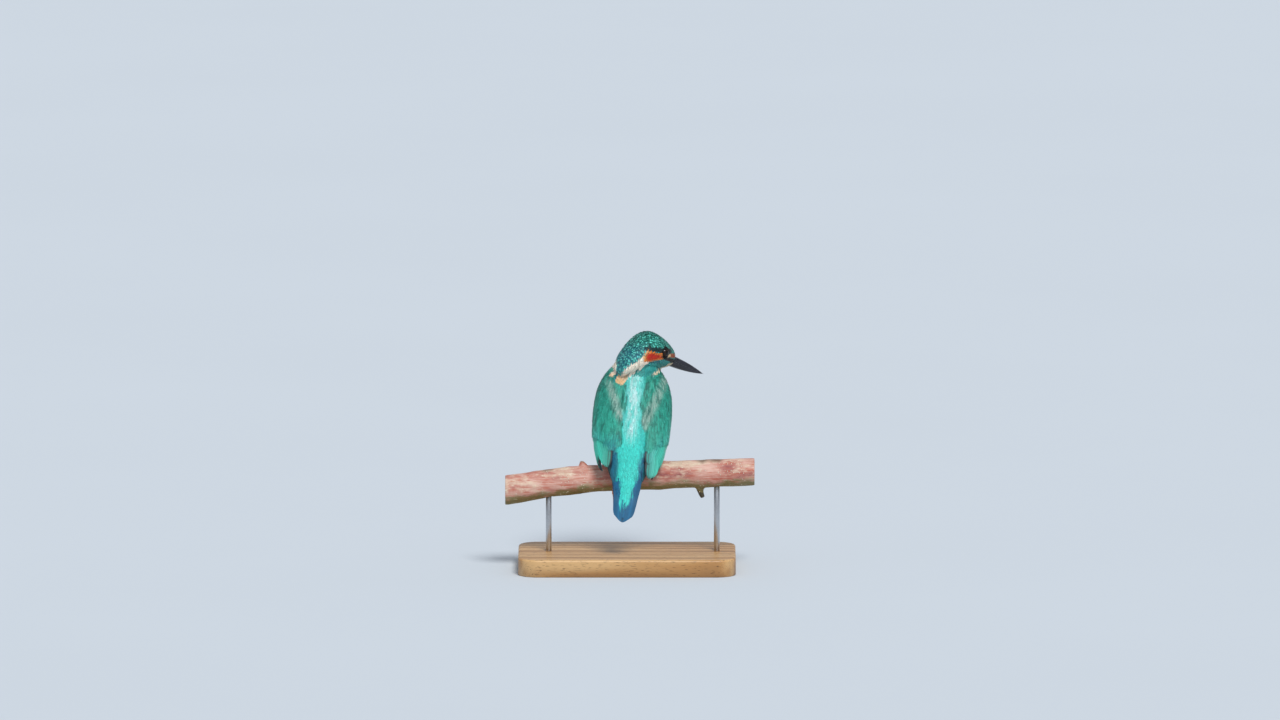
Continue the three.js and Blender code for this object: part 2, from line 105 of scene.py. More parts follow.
def ease(value, low, high):
    """0 below low, 1 above high, and a smooth step between them."""
    t = np.clip((value - low) / (high - low), 0, 1)
    return t * t * (3 - 2 * t)


def noise(points, size, seed=0):
    """Smooth random values from -1 to 1 in lumps about that size, the same on every run."""
    scaled = points / size + 31.7 * (seed + 1)
    cell = np.floor(scaled)
    part = scaled - cell
    part = part * part * (3 - 2 * part)
    total = np.zeros(len(points))
    for corner in np.ndindex(2, 2, 2):
        weight = np.prod(np.where(corner, part, 1 - part), axis=1)
        mixed = np.sin((cell + corner) @ np.array([12.9898, 78.233, 37.719])) * 43758.5453
        total += weight * ((mixed - np.floor(mixed)) * 2 - 1)
    return total


def band(x, y, start, end, half_start, half_end, soft=0.6):
    """1 inside a tapering band from start to end in a plane, fading to 0 outside it."""
    run = np.subtract(end, start)
    t = np.clip(((x - start[0]) * run[0] + (y - start[1]) * run[1]) / (run @ run), 0, 1)
    off = np.hypot(x - start[0] - run[0] * t, y - start[1] - run[1] * t)
    return ease(half_start + (half_end - half_start) * t - off, -soft / 2, soft / 2)


# ---- Meshes ----
def mesh_object(name, points, faces, smooth=True):
    """A mesh object at the origin, from points in millimetres."""
    mesh = bpy.data.meshes.new(name)
    mesh.from_pydata((np.asarray(points) * MM).tolist(), [], [list(map(int, f)) for f in faces])
    mesh.polygons.foreach_set("use_smooth", [smooth] * len(mesh.polygons))
    mesh.update()
    obj = bpy.data.objects.new(name, mesh)
    bpy.context.scene.collection.objects.link(obj)
    return obj


def outwards(obj):
    """Turns a closed mesh's faces outwards."""
    bm = bmesh.new()
    bm.from_mesh(obj.data)
    bmesh.ops.recalc_face_normals(bm, faces=bm.faces)
    bm.to_mesh(obj.data)
    bm.free()
    return obj


def rings_object(name, rings, poles=()):
    """A closed surface over rings of points, with flat ends or drawn in to a point at each."""
    count, around = rings.shape[:2]
    index = np.arange(count * around).reshape(count, around)
    after = np.roll(index, -1, axis=1)
    faces = np.stack([index[:-1], after[:-1], after[1:], index[1:]], axis=-1).reshape(-1, 4).tolist()
    if len(poles) == 0:
        faces += [index[0][::-1], index[-1]]
    for pole, ring, step in ((0, 0, -1), (1, -1, 1))[: len(poles)]:
        faces += [(index.size + pole, *pair[::step]) for pair in zip(index[ring], after[ring])]
    return outwards(mesh_object(name, np.vstack([rings.reshape(-1, 3), *poles]), faces))


def drop_object(obj):
    mesh = obj.data
    bpy.data.objects.remove(obj)
    bpy.data.meshes.remove(mesh)


def applied(obj):
    """The object with its modifiers made part of its mesh."""
    bpy.context.view_layer.update()
    evaluated = obj.evaluated_get(bpy.context.evaluated_depsgraph_get())
    mesh = bpy.data.meshes.new_from_object(evaluated)
    old = obj.data
    obj.modifiers.clear()
    obj.data = mesh
    bpy.data.meshes.remove(old)
    mesh.name = obj.name
    return obj


def arrays(mesh):
    """A mesh's points in millimetres and its triangles."""
    points = np.zeros(len(mesh.vertices) * 3)
    mesh.vertices.foreach_get("co", points)
    mesh.calc_loop_triangles()
    triangles = np.zeros(len(mesh.loop_triangles) * 3, int)
    mesh.loop_triangles.foreach_get("vertices", triangles)
    return points.reshape(-1, 3) / MM, triangles.reshape(-1, 3)


def freed(bm):
    """The points and the faces of a mesh that is being edited, which ends the editing."""
    bm.verts.index_update()
    points = np.array([v.co for v in bm.verts])
    faces = np.array([[v.index for v in f.verts] for f in bm.faces])
    bm.free()
    return points, faces


def node_arrays(node):
    """The merged points in millimetres and the triangles of a CAD node."""
    bm = bmesh.new()
    bm.from_mesh(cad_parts[node].data)
    bmesh.ops.remove_doubles(bm, verts=bm.verts, dist=1e-6)
    bmesh.ops.triangulate(bm, faces=bm.faces)
    points, triangles = freed(bm)
    return points / MM, triangles


def node_box(node):
    """The low and the high corner of a CAD node's box in millimetres."""
    return [np.array(corner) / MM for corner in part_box(node)]


def face_vectors(points, triangles):
    """A normal of each triangle, twice as long as the triangle's area."""
    first, second, third = np.moveaxis(points[triangles], 1, 0)
    return np.cross(second - first, third - first)


def gathered(index, vectors, count):
    """The sum of the vectors that belong to each of so many points."""
    return np.stack([np.bincount(index, vectors[:, k], count) for k in range(3)], axis=1)


def vertex_normals(points, triangles):
    facing = np.repeat(face_vectors(points, triangles), 3, axis=0)
    return unit(gathered(triangles.ravel(), facing, len(points)))


def tree_over(points, triangles):
    return BVHTree.FromPolygons(points.tolist(), triangles.tolist())


def node_reach(nodes, points):
    """How far each point is from each of several CAD nodes, as (node, point)."""
    trees = [tree_over(*node_arrays(node)) for node in nodes]
    return np.array([[tree.find_nearest(p)[3] for p in points.tolist()] for tree in trees])


EVENING = (0.5, -0.52)  # a step in towards the neighbours, then one out, which keeps the volume


def relaxed(points, triangles, rounds):
    """Points evened out over their neighbours, with no loss of volume."""
    pairs = np.vstack([triangles[:, [0, 1]], triangles[:, [1, 2]], triangles[:, [2, 0]]])
    start, end = np.vstack([pairs, pairs[:, ::-1]]).T
    count = np.maximum(np.bincount(start, minlength=len(points)), 1)[:, None]
    for turn in range(2 * rounds):
        mean = gathered(start, points[end], len(points)) / count
        points = points + (mean - points) * EVENING[turn % 2]
    return points


def by_part(part, rest, choices):
    """Rows for each point that go by its part: one of the choices, or the rest."""
    for codes, rows in choices:
        rest = np.where(np.isin(part, codes)[:, None], rows, rest)
    return rest


def joined(name, parts):
    """One mesh object of several (points, triangles)."""
    starts = np.cumsum([0] + [len(points) for points, _ in parts])
    triangles = np.vstack([some + start for (_, some), start in zip(parts, starts)])
    return mesh_object(name, np.vstack([points for points, _ in parts]), triangles)


def remeshed(parts, voxel, rounds):
    """One closed surface round several (points, triangles), evened out over some rounds."""
    obj = joined("rough", parts)
    modifier = obj.modifiers.new("even", "REMESH")
    modifier.mode = "VOXEL"
    modifier.voxel_size = voxel * MM
    applied(obj)
    made, faces = arrays(obj.data)
    drop_object(obj)
    return relaxed(made, faces, rounds), faces


def put_colours(mesh, name, colours):
    attribute = mesh.color_attributes.new(name, "FLOAT_COLOR", "POINT")
    attribute.data.foreach_set("color", np.column_stack([colours, np.ones(len(colours))]).ravel())


def put_values(mesh, name, values, kind="FLOAT", key="value"):
    attribute = mesh.attributes.new(name, kind, "POINT")
    attribute.data.foreach_set(key, np.asarray(values, np.float32).ravel())


def put_strewn(mesh, density, way):
    """Where small plates are strewn over a mesh, from 0 to 1, and the way they are drawn out."""
    put_values(mesh, "strewn", density)
    put_values(mesh, "way", way, "FLOAT_VECTOR", "vector")


def put_uvs(mesh, name, uvs):
    """A UV map from one place for each vertex."""
    corners = np.zeros(len(mesh.loops), int)
    mesh.loops.foreach_get("vertex_index", corners)
    layer = mesh.uv_layers.new(name=name)
    layer.data.foreach_set("uv", uvs[corners].ravel())


def finished(obj, materials, replaces=()):
    """Gives a piece its materials and its place in the frame."""
    triangles = sum(len(p.vertices) - 2 for p in obj.data.polygons)
    if triangles > PIECE_LIMIT:
        raise RuntimeError(f"{obj.name} has {triangles} triangles, over {PIECE_LIMIT}")
    for material in materials:
        obj.data.materials.append(material)
    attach(obj, BODY)
    if replaces:
        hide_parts(*replaces)


def smooth_where(obj, test):
    """Smooth shading on the faces that pass a test, and flat shading on the others."""
    obj.data.polygons.foreach_set("use_smooth", [test(face) for face in obj.data.polygons])


def whole_turn(steps):
    """Angles once round, without the last, which is the first again."""
    return np.linspace(0, math.tau, steps, endpoint=False)


# ---- Frames of the body and the head ----
BODY_LEAN = math.radians(5)  # the body leans to its right
UPRIGHT, ASIDE = math.cos(BODY_LEAN), math.sin(BODY_LEAN)
LIE_DOWN = (0, -0.398, -0.917)  # the way the plumage lies on the body: side, ahead and up
EYE_AHEAD, EYE_BELOW = 4.2, 0.5  # the eyes' place in the head's frame
BILL_DIP = math.radians(2.7)  # how far the bill's tip lies under the eyes' line, seen from an eye


@functools.cache
def head_frame():
    """The middle of the skull, and the unit vectors forward along the bill, left and up."""
    eyes = [np.mean([np.array(c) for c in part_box(f"eye_{side}")], axis=0) / MM for side in SIDES]
    left = unit(eyes[0] - eyes[1])
    middle = (eyes[0] + eyes[1]) / 2
    bill, _ = node_arrays("bill_upper")
    tip = bill[np.argmax(np.linalg.norm(bill - middle, axis=1))]
    ahead = tip - middle
    ahead = unit(ahead - left * (ahead @ left))
    up = np.cross(ahead, left)
    forward = unit(ahead * math.cos(BILL_DIP) + up * math.sin(BILL_DIP))
    up = np.cross(forward, left)
    centre = middle - forward * EYE_AHEAD + up * EYE_BELOW
    return centre, np.array([forward, left, up])


def in_head(points):
    """Forward, left and up in the head's frame."""
    centre, axes = head_frame()
    return (points - centre) @ axes.T


def from_head(forward, left, up):
    centre, axes = head_frame()
    return centre + np.array([forward, left, up]) @ axes


def spans(place, values, levels, reach):
    """The least and the greatest of some values that lie within reach of each level."""
    near = [values[np.abs(place - level) < reach] for level in levels]
    return np.array([(some.min(), some.max()) for some in near]).T


@functools.cache
def perch_axis_height():
    """The height of the branch's middle under the bird."""
    points, _ = node_arrays("perch")
    return spans(points[:, 0], points[:, 2], [0], 6).sum() / 2


def in_body(points):
    """Side (to the bird's left), ahead and up, from the branch's middle along the body's lean."""
    height = points[:, 2] - perch_axis_height()
    side = points[:, 0] * UPRIGHT + height * ASIDE
    up = -points[:, 0] * ASIDE + height * UPRIGHT
    return np.stack([side, -points[:, 1], up], axis=1)


def from_body(side, ahead, up):
    side, ahead, up = np.broadcast_arrays(side, ahead, up)
    height = perch_axis_height() + side * ASIDE + up * UPRIGHT
    return np.stack([side * UPRIGHT - up * ASIDE, -ahead, height], axis=-1)


def body_vector(side, ahead, up):
    return from_body(side, ahead, up) - from_body(0, 0, 0)


@functools.cache
def spine():
    """Heights up the body, and how far ahead the middle of the trunk is at each."""
    _, ahead, up = in_body(node_arrays("trunk")[0]).T
    levels = np.arange(0, 76, 6.0)
    return levels, spans(up, ahead, levels, 5).sum(0) / 2


def round_body(points):
    """Degrees round the body from the middle of the back, plus to the left, and the height."""
    side, ahead, up = in_body(points).T
    return np.degrees(np.arctan2(side, np.interp(up, *spine()) - ahead)), up


@functools.cache
def tail_frame():
    """The root of the tail, and the unit vectors to its left, to its tip and up out of its back."""
    points, _ = node_arrays("tail")
    down = unit(body_vector(0, -0.4, -0.9))
    run = points @ down
    ends = [points[np.abs(run - level) < 3].mean(0) for level in (run.min() + 5, run.max() - 5)]
    axis = unit(ends[1] - ends[0])
    left = across(body_vector(1, 0, 0), axis)
    root = ends[0] + axis * ((points @ axis).min() - ends[0] @ axis)
    return root, np.array([left, axis, np.cross(left, axis)])


def in_tail(points):
    root, axes = tail_frame()
    return (points - root) @ axes.T


def from_tail(left, along, back):
    root, axes = tail_frame()
    left, along, back = np.broadcast_arrays(left, along, back)
    return root + np.stack([left, along, back], axis=-1) @ axes


@functools.cache
def tail_middle():
    """Distances along the tail, and its middle and half thickness out of its back at each."""
    _, along, back = in_tail(node_arrays("tail")[0]).T
    levels = np.arange(1.5, along.max() - 1, 3.0)
    low, high = spans(along, back, levels, 2.5)
    return levels, (low + high) / 2, (high - low) / 2


# ---- The body's form ----
# The size of the voxels that a surface is made over with, and the rounds it is then evened out.
FORM_DETAIL, SKIN_DETAIL, BARK_DETAIL = (0.8, 8), (0.5, 3), (0.8, 3)
SWELL = 0.25  # closes the air between the nodes
OUTSIDE = 70  # how far from the spine a ray starts, which is outside all of the form
MISSED = 45  # and how far in from there the form is sought where the ray misses it


class Form:
    """A closed surface that plumage is laid on, with the part that each point belongs to."""

    def __init__(self, points, triangles, part):
        self.points, self.triangles, self.part = points, triangles, part
        self.normals = vertex_normals(points, triangles)
        self.face_normals = unit(self.normals[triangles].sum(1))
        self.face_part = np.median(part[triangles], axis=1).astype(int)
        self.tree = tree_over(points, triangles)

    def nearest(self, points):
        """The closest place on the form to each point, its normal and its triangle."""
        shape = points.shape
        hits = [self.tree.find_nearest(p) for p in points.reshape(-1, 3).tolist()]
        places = np.array([h[0] for h in hits]).reshape(shape)
        index = np.array([h[2] for h in hits])
        return places, self.face_normals[index].reshape(shape), index.reshape(shape[:-1])

    def seen_from(self, angle, up):
        """Where the form is first met on the way in to the spine, at angles and heights."""
        turn = np.radians(angle)
        out = body_vector(np.sin(turn), -np.cos(turn), 0)
        axis = from_body(0, np.interp(up, *spine()), up)
        places, index = [], []
        for start, way in zip(axis + out * OUTSIDE, out):
            hit = self.tree.ray_cast(Vector(start), Vector(-way))
            if hit[0] is None:
                hit = self.tree.find_nearest(Vector(start - way * MISSED))
            places.append(hit[0])
            index.append(hit[2])
        index = np.array(index)
        return np.array(places), self.face_normals[index], self.face_part[index]


@functools.cache
def body_form():
    """The outside of the plumage: one smooth surface round the bird's nodes."""
    swollen = []
    for node in PARTS:
        points, triangles = node_arrays(node)
        swollen.append((points + vertex_normals(points, triangles) * SWELL, triangles))
    points, triangles = remeshed(swollen, *FORM_DETAIL)
    points = points - vertex_normals(points, triangles) * SWELL
    codes = np.array(list(PARTS.values()))
    return Form(points, triangles, codes[np.argmin(node_reach(PARTS, points), axis=0)])


BODY_DEPTH = 1.0  # how thick the plumage is on the trunk and the wings
OTHER_DEPTHS = {NECK: 0.9, TAIL: 0.6, LEG: 0.7}


def coat_depth(points, part):
    """How thick the plumage is over the skin: thinnest on the face, then on the tail."""
    depth = np.full(len(points), BODY_DEPTH)
    for code, other in OTHER_DEPTHS.items():
        depth[part == code] = other
    on_head = np.isin(part, HEAD_PARTS)
    depth[on_head] = (0.32 + 0.43 * face_share(points))[on_head]
    return depth


RAY_START = 0.1  # how far under the surface a measuring ray starts, so that it doesn't meet it
UNMEASURED = 100.0


def thickness(form):
    """How thick a form is under each of its points, measured straight in."""
    found = []
    for point, normal in zip(form.points, form.normals):
        hit = form.tree.ray_cast(Vector(point - normal * RAY_START), Vector(-normal))
        found.append(hit[3] + RAY_START if hit[0] is not None else UNMEASURED)
    return np.array(found)


# ---- Markings ----
def streak(points, wide, long, seed):
    """Noise drawn out down the body, as the barbs lie."""
    side, ahead, up = in_body(points).T
    return noise(np.stack([side / wide, ahead / wide, up / long], axis=1), 1.0, seed)


# The bright stripe down the back: heights up the body, and its half width there.
STRIPE = ((2, 13, 25, 33, 42, 54, 67), (7.5, 8.0, 11.0, 9.5, 6.5, 5.0, 6.8))
# The nape: heights in the head's frame, and how far left its right and left edges lie there.
NAPE_RIGHT = ((-31.5, -28, -25, -14), (1.8, 0.8, -4.0, -7.8))
NAPE_LEFT = ((-31.5, -28, -25, -21, -14), (1.9, 3.2, 1.8, 2.2, 7.8))
# The painted grey sheen on each wing, a highlight of the sun on the scapulars, in the body's frame:
# side and up where it starts and ends, its half widths there, and how soft its edge is.
PAINTED_SHEENS = (((18, 64), (8.6, 44), 2.2, 2.8, 5.0), ((-21, 69), (-7.6, 38), 2.6, 3.2, 5.0))
# The bands on the head and the neck, in the head's frame: forward and up where each starts and
# ends, its half widths there and, where it isn't the usual one, the softness of its edge.
HEAD_BANDS = {
    "malar": ((10.5, -7.2), (-12.5, -22.0), 1.7, 4.6),
    "upper_patch": ((-9.6, -11.4), (-15.6, -21.5), 3.4, 4.3),
    "lower_patch": ((-15.6, -21.5), (-17.2, -30.0), 4.3, 2.4),
    "left_patch": ((-11.5, -11.2), (-21.2, -25.5), 3.6, 3.6),
    # The dark band over the eye and the ear patch: partly the crown's own dark edge, partly painted shade
    # under the crown's feathers.
    "crown_edge_shade": ((9.5, 1.8), (-11.5, -3.2), 1.7, 1.5),
    "ear": ((3.0, -4.1), (-9.2, -8.4), 2.0, 3.8),
    "ear_core": ((0.3, -5.0), (-7.4, -7.8), 1.0, 2.7, 1.4),
    "lore": ((18.5, 1.6), (10.5, -1.0), 1.5, 1.4),
    "gape": ((18.5, -3.2), (4.5, -4.2), 1.7, 1.0),
    "spot": ((9.9, -1.2), (8.9, -1.7), 1.2, 1.2),
}
EYE_RING = 4.3  # the radius of the black feathers round an eye


def plumage(points, part, look):
    """The plumage's own colour at points of a part, shared by the skin and the coat, and how
    strongly each place is spotted."""
    forward, left, height = in_head(points).T
    forward = forward + 0.3 * noise(points, 1.6, 1)
    height = height + 0.3 * noise(points, 1.6, 2)
    side, _, up = in_body(points).T
    angle, _ = round_body(points)
    from_back = np.abs(angle)
    fine = streak(points, 1.0, 9, 3)
    broad = streak(points, 3.2, 18, 4)

    # Underparts: rufous, paler and warmer down the middle of the belly.
    under = mix(look.breast, look.belly, ease(20 - up, -16, 14) * 0.6)
    under = mix(under, np.multiply(look.breast, 0.66), 0.5 * fine + 0.3 * broad)

    # Wings and mantle: green in silky streaks, with the sun's highlight painted as grey sheen on the
    # scapulars.
    wing = mix(look.wing, look.wing_light, 0.55 * fine + 0.2)
    wing = mix(wing, look.wing_dark, np.minimum(-0.8 * fine + 0.5 * broad - 0.05, 0.85))
    outer_low = ease(from_back, 48, 78) * ease(44 - up, 0, 18)
    wing = mix(wing, look.wing_fringe, outer_low * (0.45 + 0.5 * fine))
    wing = mix(wing, look.wing_blue, ease(36 - up, 0, 24) * np.minimum(0.3 + 0.5 * broad, 0.7))
    painted_sheen = np.max([band(side, up, *line) for line in PAINTED_SHEENS], axis=0)
    wing = mix(wing, look.painted_sheen, np.minimum(painted_sheen * (0.5 + 0.5 * fine), 0.8))

    # Back and rump: a bright stripe, nearly white between the shoulders, partly its own paler blue and
    # partly a painted highlight of the sun, with deep blue rump sides darkened low on the flanks as painted
    # shade.
    off = np.abs(side - 0.2)
    half = np.interp(up, *STRIPE)
    stripe = mix(look.back, look.back_edge, 0.7 * ease(off / half, 0.45, 1) - 0.3 * fine)
    # The pale upper stripe is partly the stripe's own paler blue and partly a painted highlight of the sun.
    pale = np.exp(-((off / 3.9) ** 2)) * ease(up, 22, 38) * (0.75 + 0.8 * fine)
    stripe = mix(stripe, look.back_pale_highlight, pale)
    # Low on the flanks the rump's deep blue is darkened to near black as painted shade, and the underparts
    # start further round there, so the shaded flanks are painted blue and black rather than rufous.
    rump_side_and_shade = mix(look.rump_side, look.flight, ease(off + 3 * fine, 9.5, 13) * 0.85)
    flank = mix(wing, rump_side_and_shade, ease(25 - up, 0, 9) * np.clip(0.85 + 0.4 * fine, 0, 1))
    back = mix(flank, stripe, ease(half - off + 1.3 * fine, -1.0, 1.0))
    edge = np.interp(up, [4, 22], [108, 76])
    trunk = mix(back, under, ease(from_back + 4 * fine, edge - 5, edge + 5))

    # Tail: azure above with a bright wedge down the middle, rufous then grey below.
    tail_left, tail_along, tail_back = in_tail(points).T
    wedge = np.interp(tail_along, [0, 12, 30], [7.0, 4.8, 2.4]) - np.abs(tail_left - 0.02 * tail_along)
    upper = mix(look.tail, look.rump_side, np.clip(0.5 + 0.6 * fine, 0, 1) * ease(-wedge, 0, 2))
    shown = ease(wedge + 1.8 * fine, -0.9, 0.9) * ease(25 + 5 * fine - tail_along, -2, 2)
    upper = mix(upper, look.back, shown)
    lower = mix(under, look.tail_under, ease(tail_along, 20, 25))
    levels, middle, half_thick = tail_middle()
    over = (tail_back - np.interp(tail_along, levels, middle)) / np.interp(tail_along, levels, half_thick)
    tail = mix(lower, upper, ease(over, -0.75, -0.5))

    # Head: teal crown and nape, and the face's own pattern over them.
    on = {name: band(forward, height, *line) for name, line in HEAD_BANDS.items()}
    malar, ear, gape = on["malar"], on["ear"], on["gape"]
    crown = mix(look.crown, look.crown_blue, ease(-height, -3, 11) * 0.85)
    line = -7.3 + 0.66 * (forward - 9)
    half_malar = np.interp(forward, [-10.8, 9], [4.4, 1.6])
    chin = np.linalg.norm(points - from_head(9, 0, -11), axis=1)
    throat = mix(look.throat, look.breast, ease(chin, 13, 22))
    below = ease(line - half_malar - height, -0.5, 0.7)
    front = ease(from_back, 60, 85)
    low = below * np.where(part == HEAD, 1, front)
    teal = mix(look.malar, look.wing_dark, 0.4 * noise(points, 2.5, 8))
    # The head is turned to its right, which draws the nape's point and both patches to its left.
    under_rim = 0.95 * np.maximum(forward + 19, 0) * ease(-height, 23, 25)
    nape_right = np.interp(height, *NAPE_RIGHT) + under_rim
    nape_left = np.interp(height, *NAPE_LEFT)
    nape = ease(np.minimum(left - nape_right, nape_left - left), -0.6, 0.6) * ease(-forward, 8, 10)
    left_patch = on["left_patch"] * np.where(part == WING_LEFT, ease(-left, -9.5, -7.5), 1)
    right_patch = np.maximum(on["upper_patch"], on["lower_patch"])
    patch = np.where(left < 1.5, right_patch, left_patch) * (1 - nape)
    ivory = mix(look.neck_patch, look.patch_base, ease(-height, 24.5, 30) * 0.9)
    rust = mix(look.ear_edge, look.ear, on["ear_core"])
    rust = mix(rust, look.patch_base, ease(-forward, 9.6, 12.0))
    beside = ease(np.abs(left), 2.2, 3.4)
    lore, spot = on["lore"] * beside, on["spot"] * beside
    eye_off = np.hypot(forward - EYE_AHEAD, height + EYE_BELOW)
    head = crown
    for colour, share in (
        (throat, low),
        (teal, malar),
        (ivory, patch),
        # The dark band under the crown's edge: partly its own colour, partly painted shade.
        (look.crown_edge_shade, on["crown_edge_shade"] * 0.95),
        (rust, ear),
        (look.lore, lore),
        (look.brow_black, gape),
        (look.brow_black, ease(EYE_RING - eye_off, -0.4, 0.4)),
        (look.lore_spot, spot),
    ):
        head = mix(head, colour, share)
    unbarred = np.max([patch, ear, lore, gape, spot, eye_off < EYE_RING, low, on["crown_edge_shade"]], axis=0)
    barred = np.where(np.isin(part, (HEAD, NECK)), (1 - unbarred) * (1 - 0.85 * malar), 0)
    spots = 0.35 * ease(up, 30, 44) * ease(from_back, 40, 62) * (noise(points, 1.3, 6) > 0.2)
    barred = np.where(np.isin(part, WING_PARTS), spots, barred)

    # Neck: the head's pattern runs down over it, then mantle behind and breast in front.
    marked = malar + patch + below * front
    neck = mix(back, throat, ease(from_back + 5 * fine, 78, 92))
    neck = mix(neck, head, np.maximum(marked, nape))
    barred = np.where(part == NECK, barred * nape, barred)

    # The white patch and the point of the nape reach down over the shoulders.
    collar = np.maximum(patch, nape) * ease(height, -35, -32) * ease(95 - from_back, 0, 10)
    trunk, wing = mix(trunk, head, collar), mix(wing, head, collar)
    barred = np.where(np.isin(part, (TRUNK, *WING_PARTS)) & (collar > 0.5), nape, barred)

    others = [(WING_PARTS, wing), (TAIL, tail), (NECK, neck), (HEAD_PARTS, head), (LEG, look.foot)]
    return np.clip(by_part(part, trunk, others), 0.001, 1), barred


# ---- Vanes: the solid meshes of small feathers ----
def lie(points, normals, part):
    """The way the plumage lies: back from the bill, down the body, and along wings and tail."""
    _, axes = head_frame()
    forward = in_head(points)[:, 0]
    down = body_vector(*LIE_DOWN)
    back_share = ease(forward, -14, 2)[:, None]
    on_head = -axes[0] * back_share + down * (1.05 - back_share) - axes[2] * 0.25
    tips = [from_body(17 * side, -19, -4) for side in SIDES.values()]
    on_wings = [unit(tip - points) * 0.55 + down * 0.45 for tip in tips]
    others = [(HEAD_PARTS, on_head), (NECK, unit(on_head) * 0.35 + down * 0.65)]
    others += [(TAIL, tail_frame()[1][1]), *zip(WING_PARTS, on_wings)]
    return across(by_part(part, down, others), normals)


TRIES = 5  # random places tried for each one that there is room for


def scattered(form, wanted, gap, seed):
    """Places over the wanted triangles, no closer than the gap asked for on each triangle."""
    rng = np.random.default_rng(seed)
    corners = form.points[form.triangles]
    area = np.linalg.norm(face_vectors(form.points, form.triangles), axis=1)
    area = np.where(wanted, area / 2, 0)
    need = area / gap**2
    count = int(TRIES * need.sum()) + 1
    chosen = np.searchsorted(np.cumsum(need) / need.sum(), rng.random(count))
    chosen = np.minimum(chosen, len(area) - 1)
    a, b = rng.random((2, count))
    a, b = np.where(a + b > 1, 1 - a, a), np.where(a + b > 1, 1 - b, b)
    weights = np.stack([1 - a - b, a, b], axis=1)
    points = np.einsum("nk,nkc->nc", weights, corners[chosen])
    normals = unit(np.einsum("nk,nkc->nc", weights, form.normals[form.triangles[chosen]]))
    apart = gap[chosen] ** 2
    taken = np.zeros((count, 3))
    kept = []
    for i, point in enumerate(points):
        near = taken[: len(kept)] - point
        if len(kept) == 0 or np.einsum("ij,ij->i", near, near).min() > apart[i]:
            taken[len(kept)] = point
            kept.append(i)
    kept = np.array(kept)
    return points[kept], normals[kept], form.face_part[chosen[kept]]


def shell_faces(rows, columns):
    """Faces of a thin closed blade: an upper and a lower sheet that share their rim."""
    upper = np.arange(rows * columns).reshape(rows, columns)
    lower = upper.copy()
    inner = np.arange((rows - 2) * (columns - 2)).reshape(rows - 2, columns - 2)
    lower[1:-1, 1:-1] = inner + rows * columns
    sheets = []
    for grid, turn in ((upper, 1), (lower, -1)):
        quads = np.stack([grid[:-1, :-1], grid[1:, :-1], grid[1:, 1:], grid[:-1, 1:]], axis=-1)
        sheets.append(quads.reshape(-1, 4)[:, ::turn])
    return np.vstack(sheets)


def rim_doubled(values):
    """Values on a blade's upper grid (blade, row, column, ...), followed by its lower inner ones."""
    count = values.shape[0]
    flat = values.reshape(count, -1, *values.shape[3:])
    inner = values[:, 1:-1, 1:-1].reshape(count, -1, *values.shape[3:])
    return np.concatenate([flat, inner], axis=1)


def blades(middles, normals, ways, form, half_width, height, thick, columns, free=None):
    """Thin blades along centre lines (blade, row) laid on a form.

    half_width is (blade, row), height (blade, row, column) over the form and thick (blade, row).
    With no form, the blades are flat across. Where free (blade, row) is 1, they come off the form.
    Returns points (blade, vertex, 3) for shell_faces.
    """
    sideways = unit(np.cross(normals, ways))
    place = columns[:, None] * half_width[:, :, None, None]
    spread = middles[:, :, None, :] + sideways[:, :, None, :] * place
    if form is None:
        surface, facing = spread, np.broadcast_to(normals[:, :, None, :], spread.shape)
    else:
        surface, facing, _ = form.nearest(spread)
    if free is not None:
        surface = mix(surface, spread, free[:, :, None])
        facing = unit(mix(facing, normals[:, :, None, :], free[:, :, None]))
    over = height[..., None] + thick[:, :, None, None] / 2
    under = height[..., None] - thick[:, :, None, None] / 2
    rows, count = middles.shape[1], len(columns)
    rim = np.ones((rows, count), bool)
    rim[1:-1, 1:-1] = False
    over = np.where(rim[..., None], height[..., None], over)
    upper = surface + facing * over
    lower = surface + facing * under
    inner = lower[:, 1:-1, 1:-1].reshape(len(middles), -1, 3)
    return np.concatenate([upper.reshape(len(middles), -1, 3), inner], axis=1)


VANE_ROWS = np.array([0.0, 0.3, 0.6, 0.84, 1.0])
VANE_COLUMNS = np.array([-1.0, 0.0, 1.0])
SOFT_VANE = np.array([0.45, 0.9, 1.0, 0.80, 0.40])  # half widths down a loose, narrow feather
ROUND_VANE = np.array([0.40, 0.85, 1.0, 0.90, 0.52])  # and down a firm one with a round tip
SEEN_ROW = 3  # the row that shows past the feathers above
VANE_CREASE = math.radians(60)  # only a vane's rim is sharper than this
LENGTH_SPREAD = (0.84, 1.18)  # how many times its own length a vane may have
LIFT_SPREAD = (-0.14, 0.12)  # how far a vane's tip may lie under or over the form, in depths
ARCH = 0.16  # how far a vane's edges lie under its middle, in half widths
TIP_DRAWN = 0.05  # how far the corners of a vane's tip are drawn back, in lengths
PATCH = 0.003  # the width of one vane's patch on the bake map
FOLD = 0.35  # the least cosine between the form's facings at two neighbouring rows of a vane
DARKEST = 0.0015  # no feather is blacker than this


def walked(form, roots, normals, ways, lengths, part):
    """Middle lines of vanes that start at roots and follow the lie of the plumage over the form:
    places, facings and ways as (vane, row)."""
    middles, facings, courses = [roots], [normals], [ways]
    for share in np.diff(VANE_ROWS):
        place, normal, _ = form.nearest(middles[-1] + courses[-1] * (lengths * share)[:, None])
        middles.append(place)
        facings.append(normal)
        courses.append(across(courses[-1] * 0.6 + lie(place, normal, part) * 0.4, normal))
    return [np.stack(each, axis=1) for each in (middles, facings, courses)]


